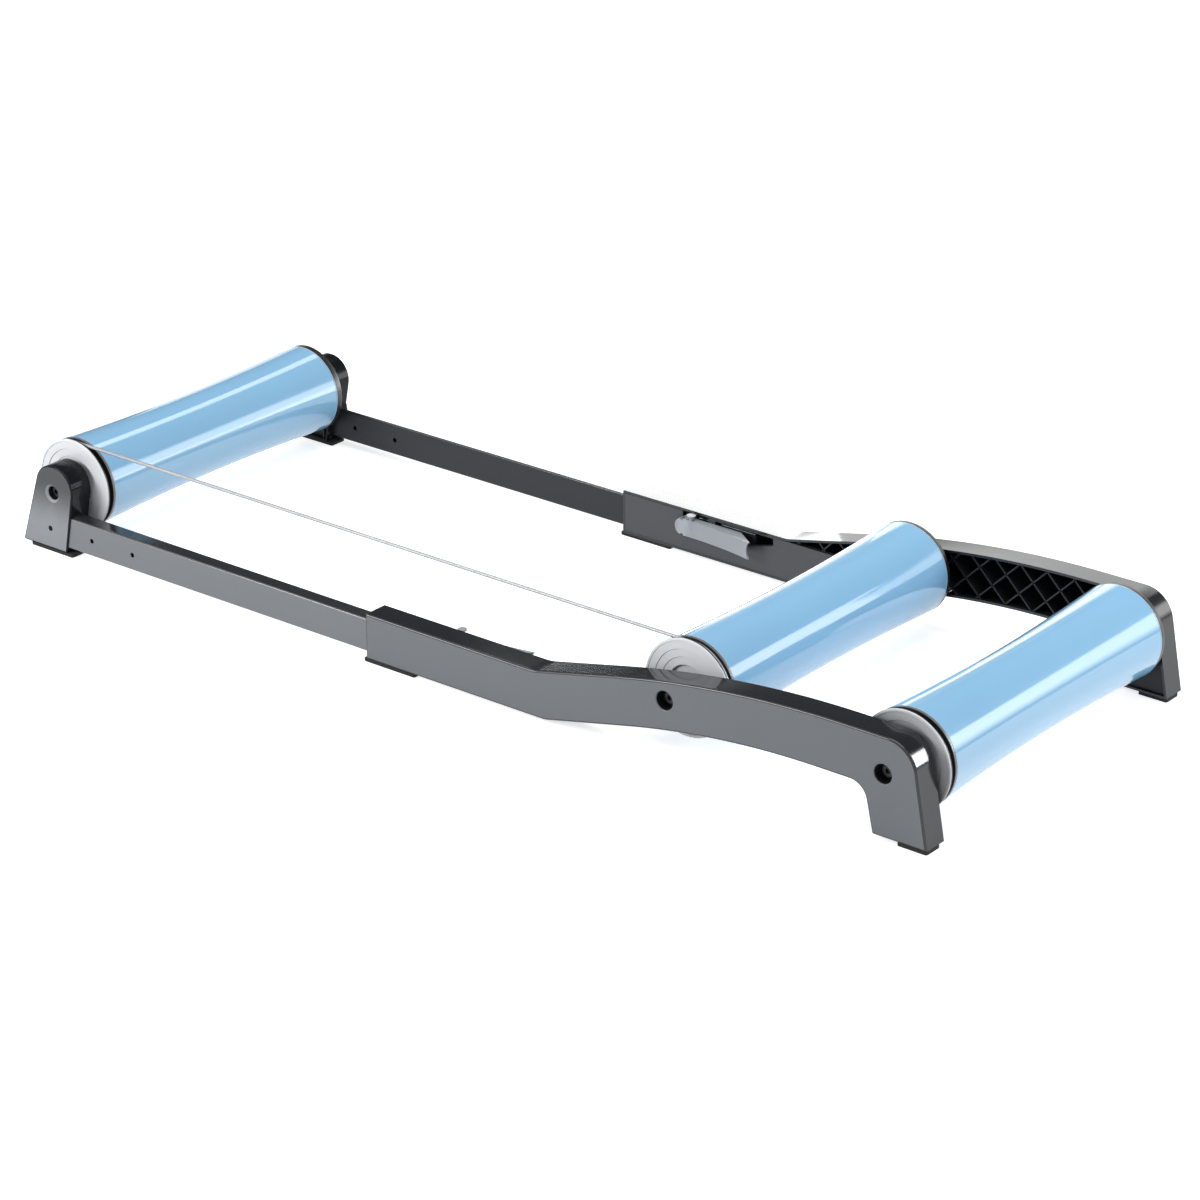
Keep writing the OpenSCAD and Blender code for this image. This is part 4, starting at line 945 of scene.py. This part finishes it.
def belt_mesh():
    """Round the middle cap, along the lower run, round the front cap and back along the upper run."""
    form = Moulding(lambda p, level: (p.x, level, p.y))
    path = []
    for here, there, turned in ((MIDDLE_X, FRONT_X, 0.5), (FRONT_X, MIDDLE_X, 1.5)):
        path += [(here, turned + k / BELT_ARC_STEPS) for k in range(BELT_ARC_STEPS + 1)]
        path += [(here + (there - here) * k / BELT_RUN_STEPS, turned + 1)
                 for k in range(1, BELT_RUN_STEPS)]
    rings = []
    for x, half_turns in path:
        out = Vector((math.cos(half_turns * math.pi), math.sin(half_turns * math.pi)))
        start = len(form.points)
        for section in circle(0, 0, BELT_THICK / 2, BELT_SIDES):
            p = Vector((x, AXLE_Z)) + out * (BELT_R + section.x)
            form.points.append(form.place(p, GROOVE_Y + section.y))
        rings.append(list(range(start, start + BELT_SIDES)))
    form.loft(rings + [rings[0]])
    return form.mesh("belt")


belt = add_object("drive_belt_cord", tidy_mesh(belt_mesh(), sharp=60))
belt.data.materials.append(belt_clear)
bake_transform(belt)
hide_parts("drive_belt")

# Floor, lights and background
# A white floor under and behind the rollers, one large soft light over the near side, and bright
# panels on the far side for the streaks along the drums.
FLOOR_HALF, FLOOR_GREY, FLOOR_LIFT, WORLD_LIGHT = 9, 0.86, 0.68, 0.33
floor_mesh = bpy.data.meshes.new("floor")
floor_mesh.from_pydata([(x * FLOOR_HALF, y * FLOOR_HALF, 0) for x, y in
                        ((-1, -1), (1, -1), (1, 1), (-1, 1))], [], [(0, 1, 2, 3)])
floor = add_object("floor", floor_mesh)
floor_white, floor_tree, floor_shader = new_material("floor_white")
put(floor_shader, Base_Color=(FLOOR_GREY, FLOOR_GREY, FLOOR_GREY, 1), Roughness=0.8,
    Specular_IOR_Level=0.0, Emission_Color=(1, 1, 1, 1))
floor.data.materials.append(floor_white)


def seen_directly(tree, other, direct, socket):
    """Give a socket one value for what the camera, gloss and glass see, and another for the rest."""
    new, link = tree.nodes.new, tree.links.new
    paths, amount = new("ShaderNodeLightPath"), new("ShaderNodeMapRange")
    both, any_of_them = new("ShaderNodeMath"), new("ShaderNodeMath")
    both.operation = any_of_them.operation = "MAXIMUM"
    link(paths.outputs["Is Camera Ray"], both.inputs[0])
    link(paths.outputs["Is Glossy Ray"], both.inputs[1])
    link(both.outputs["Value"], any_of_them.inputs[0])
    link(paths.outputs["Is Transmission Ray"], any_of_them.inputs[1])
    link(any_of_them.outputs["Value"], amount.inputs["Value"])
    put(amount, To_Min=other, To_Max=direct)
    link(amount.outputs["Result"], socket)


seen_directly(floor_tree, 0.0, FLOOR_LIFT, floor_shader.inputs["Emission Strength"])

world = bpy.data.worlds.new("studio")
bpy.context.scene.world = world
world.use_nodes = True
backdrop = world.node_tree.nodes["Background"]
put(backdrop, Color=(1, 1, 1, 1))
seen_directly(world.node_tree, WORLD_LIGHT, 1.0, backdrop.inputs["Strength"])


def soft_light(name, place, towards, width, height, radiance, only_gloss=True):
    """A rectangular panel; its power follows from its area and the brightness it shows."""
    lamp = bpy.data.lights.new(name, "AREA")
    lamp.shape = "RECTANGLE"
    lamp.size, lamp.size_y = width, height
    lamp.energy = radiance * math.pi * width * height
    light = add_object(name, lamp)
    light.location = place
    light.rotation_mode = "QUATERNION"
    light.rotation_quaternion = (-Vector(towards)).to_track_quat("Z", "Y")
    light.visible_camera = False
    light.visible_diffuse = not only_gloss
    return light


# the key light from the front left, which lights the faces, and a large soft one above
soft_light("key_softbox", (1.5, 2.3, 1.3), (-1.5, -2.2, -1.2), 1.4, 1.0, 13.0, only_gloss=False)
soft_light("top_softbox", (-0.5, -0.1, 2.3), (0.05, 0, -1), 2.4, 1.8, 2.4, only_gloss=False)
# a weak fill from the rear, for the drums' rear sides
rear_fill = soft_light("rear_fill", (-1.9, -0.7, 0.9), (1.2, 0.5, -0.6), 1.3, 0.8, 3.4,
                       only_gloss=False)
rear_fill.visible_glossy = False
# a low panel behind and in front, for the front drum's upper edge
soft_light("far_front_panel", (1.5, -0.95, 0.2), (0, 1, 0), 0.5, 0.4, 1.2)
# a small strip over the front drum: its narrow streak
soft_light("narrow_streak_strip", (0.699, -0.61, 0.8), (0, 0, -1), 0.178, 0.42, 4.0)


def studio_card(name, axis, level, wide, high, glow=0.0, fades=(), lean=0.0):
    """A flat upright card or cloth at one level of x or y, which only reflections show. A lit card
    glows most between its fades, each given as two heights: where it starts and where it is full.
    Its top may lean sideways."""
    corners = [(wide[0], high[0]), (wide[1], high[0]), (wide[1] + lean, high[1]),
               (wide[0] + lean, high[1])]
    mesh = bpy.data.meshes.new(name)
    mesh.from_pydata([(level, w, h) if axis == "x" else (w, level, h) for w, h in corners],
                     [], [(0, 1, 2, 3)])
    card = add_object(name, mesh)
    card.visible_camera = card.visible_diffuse = card.visible_shadow = False
    skin, tree, shader = new_material(name)
    new, link = tree.nodes.new, tree.links.new
    put(shader, Base_Color=(0.04, 0.04, 0.04, 1), Roughness=0.9, Emission_Color=(1, 1, 1, 1))
    place, split = new("ShaderNodeTexCoord"), new("ShaderNodeSeparateXYZ")
    link(place.outputs["Object"], split.inputs["Vector"])
    strength = None
    for start, full in fades:
        fall = new("ShaderNodeMapRange")
        fall.interpolation_type = "SMOOTHSTEP"
        put(fall, From_Min=start, From_Max=full, To_Max=1 if strength else glow)
        link(split.outputs["Z"], fall.inputs["Value"])
        if strength:
            product = new("ShaderNodeMath")
            product.operation = "MULTIPLY"
            link(strength, product.inputs[0])
            link(fall.outputs["Result"], product.inputs[1])
            strength = product.outputs["Value"]
        else:
            strength = fall.outputs["Result"]
    if strength:
        link(strength, shader.inputs["Emission Strength"])
    card.data.materials.append(skin)


# black cloth above and beside the far cards keeps the near tops dark
studio_card("cloth_above", "y", -1.04, (-1.6, 2.6), (0.6, 2.8))
studio_card("cloth_beside", "y", -1.05, (0.74, 2.6), (0.0, 0.6))
# a lit card behind, brightest below: the pale upper edges of the two rear drums
studio_card("far_low_card", "y", -1.0, (-0.08, 0.72), (0.0, 0.56), 2.0, [(0.56, 0.14)])
# two small bright cards to the right, one over the other: the glint on the near beam's rear corner
studio_card("corner_glint_card", "x", -1.39, (-0.667, -0.567), (0.3, 0.78), 34.0, [(0.29, 0.3)],
            lean=-0.263)
studio_card("low_glint_card", "x", -1.39, (-0.667, -0.59), (0.09, 0.3), 34.0, [(0.09, 0.13)])
# two low lit cards close behind the far side: the white tops of its tube and sleeve, and the
# pale top of its beam
studio_card("far_tube_card", "y", -0.3, (-0.14, 0.74), (0.07, 0.113), 7.5, [(0.07, 0.08)])
studio_card("far_beam_card", "y", -0.36, (-0.62, -0.12), (0.12, 0.24), 2.6,
            [(0.12, 0.16), (0.24, 0.2)])
# a lit card standing to the right of the view: the wide streak along each drum
studio_card("wide_streak_card", "x", -1.4, (-2.6, -0.4), (0.02, 1.1), 5.0,
            [(0.03, 0.3), (1.1, 0.7)])

bpy.context.scene.view_settings.view_transform = "Standard"
bpy.context.view_layer.update()
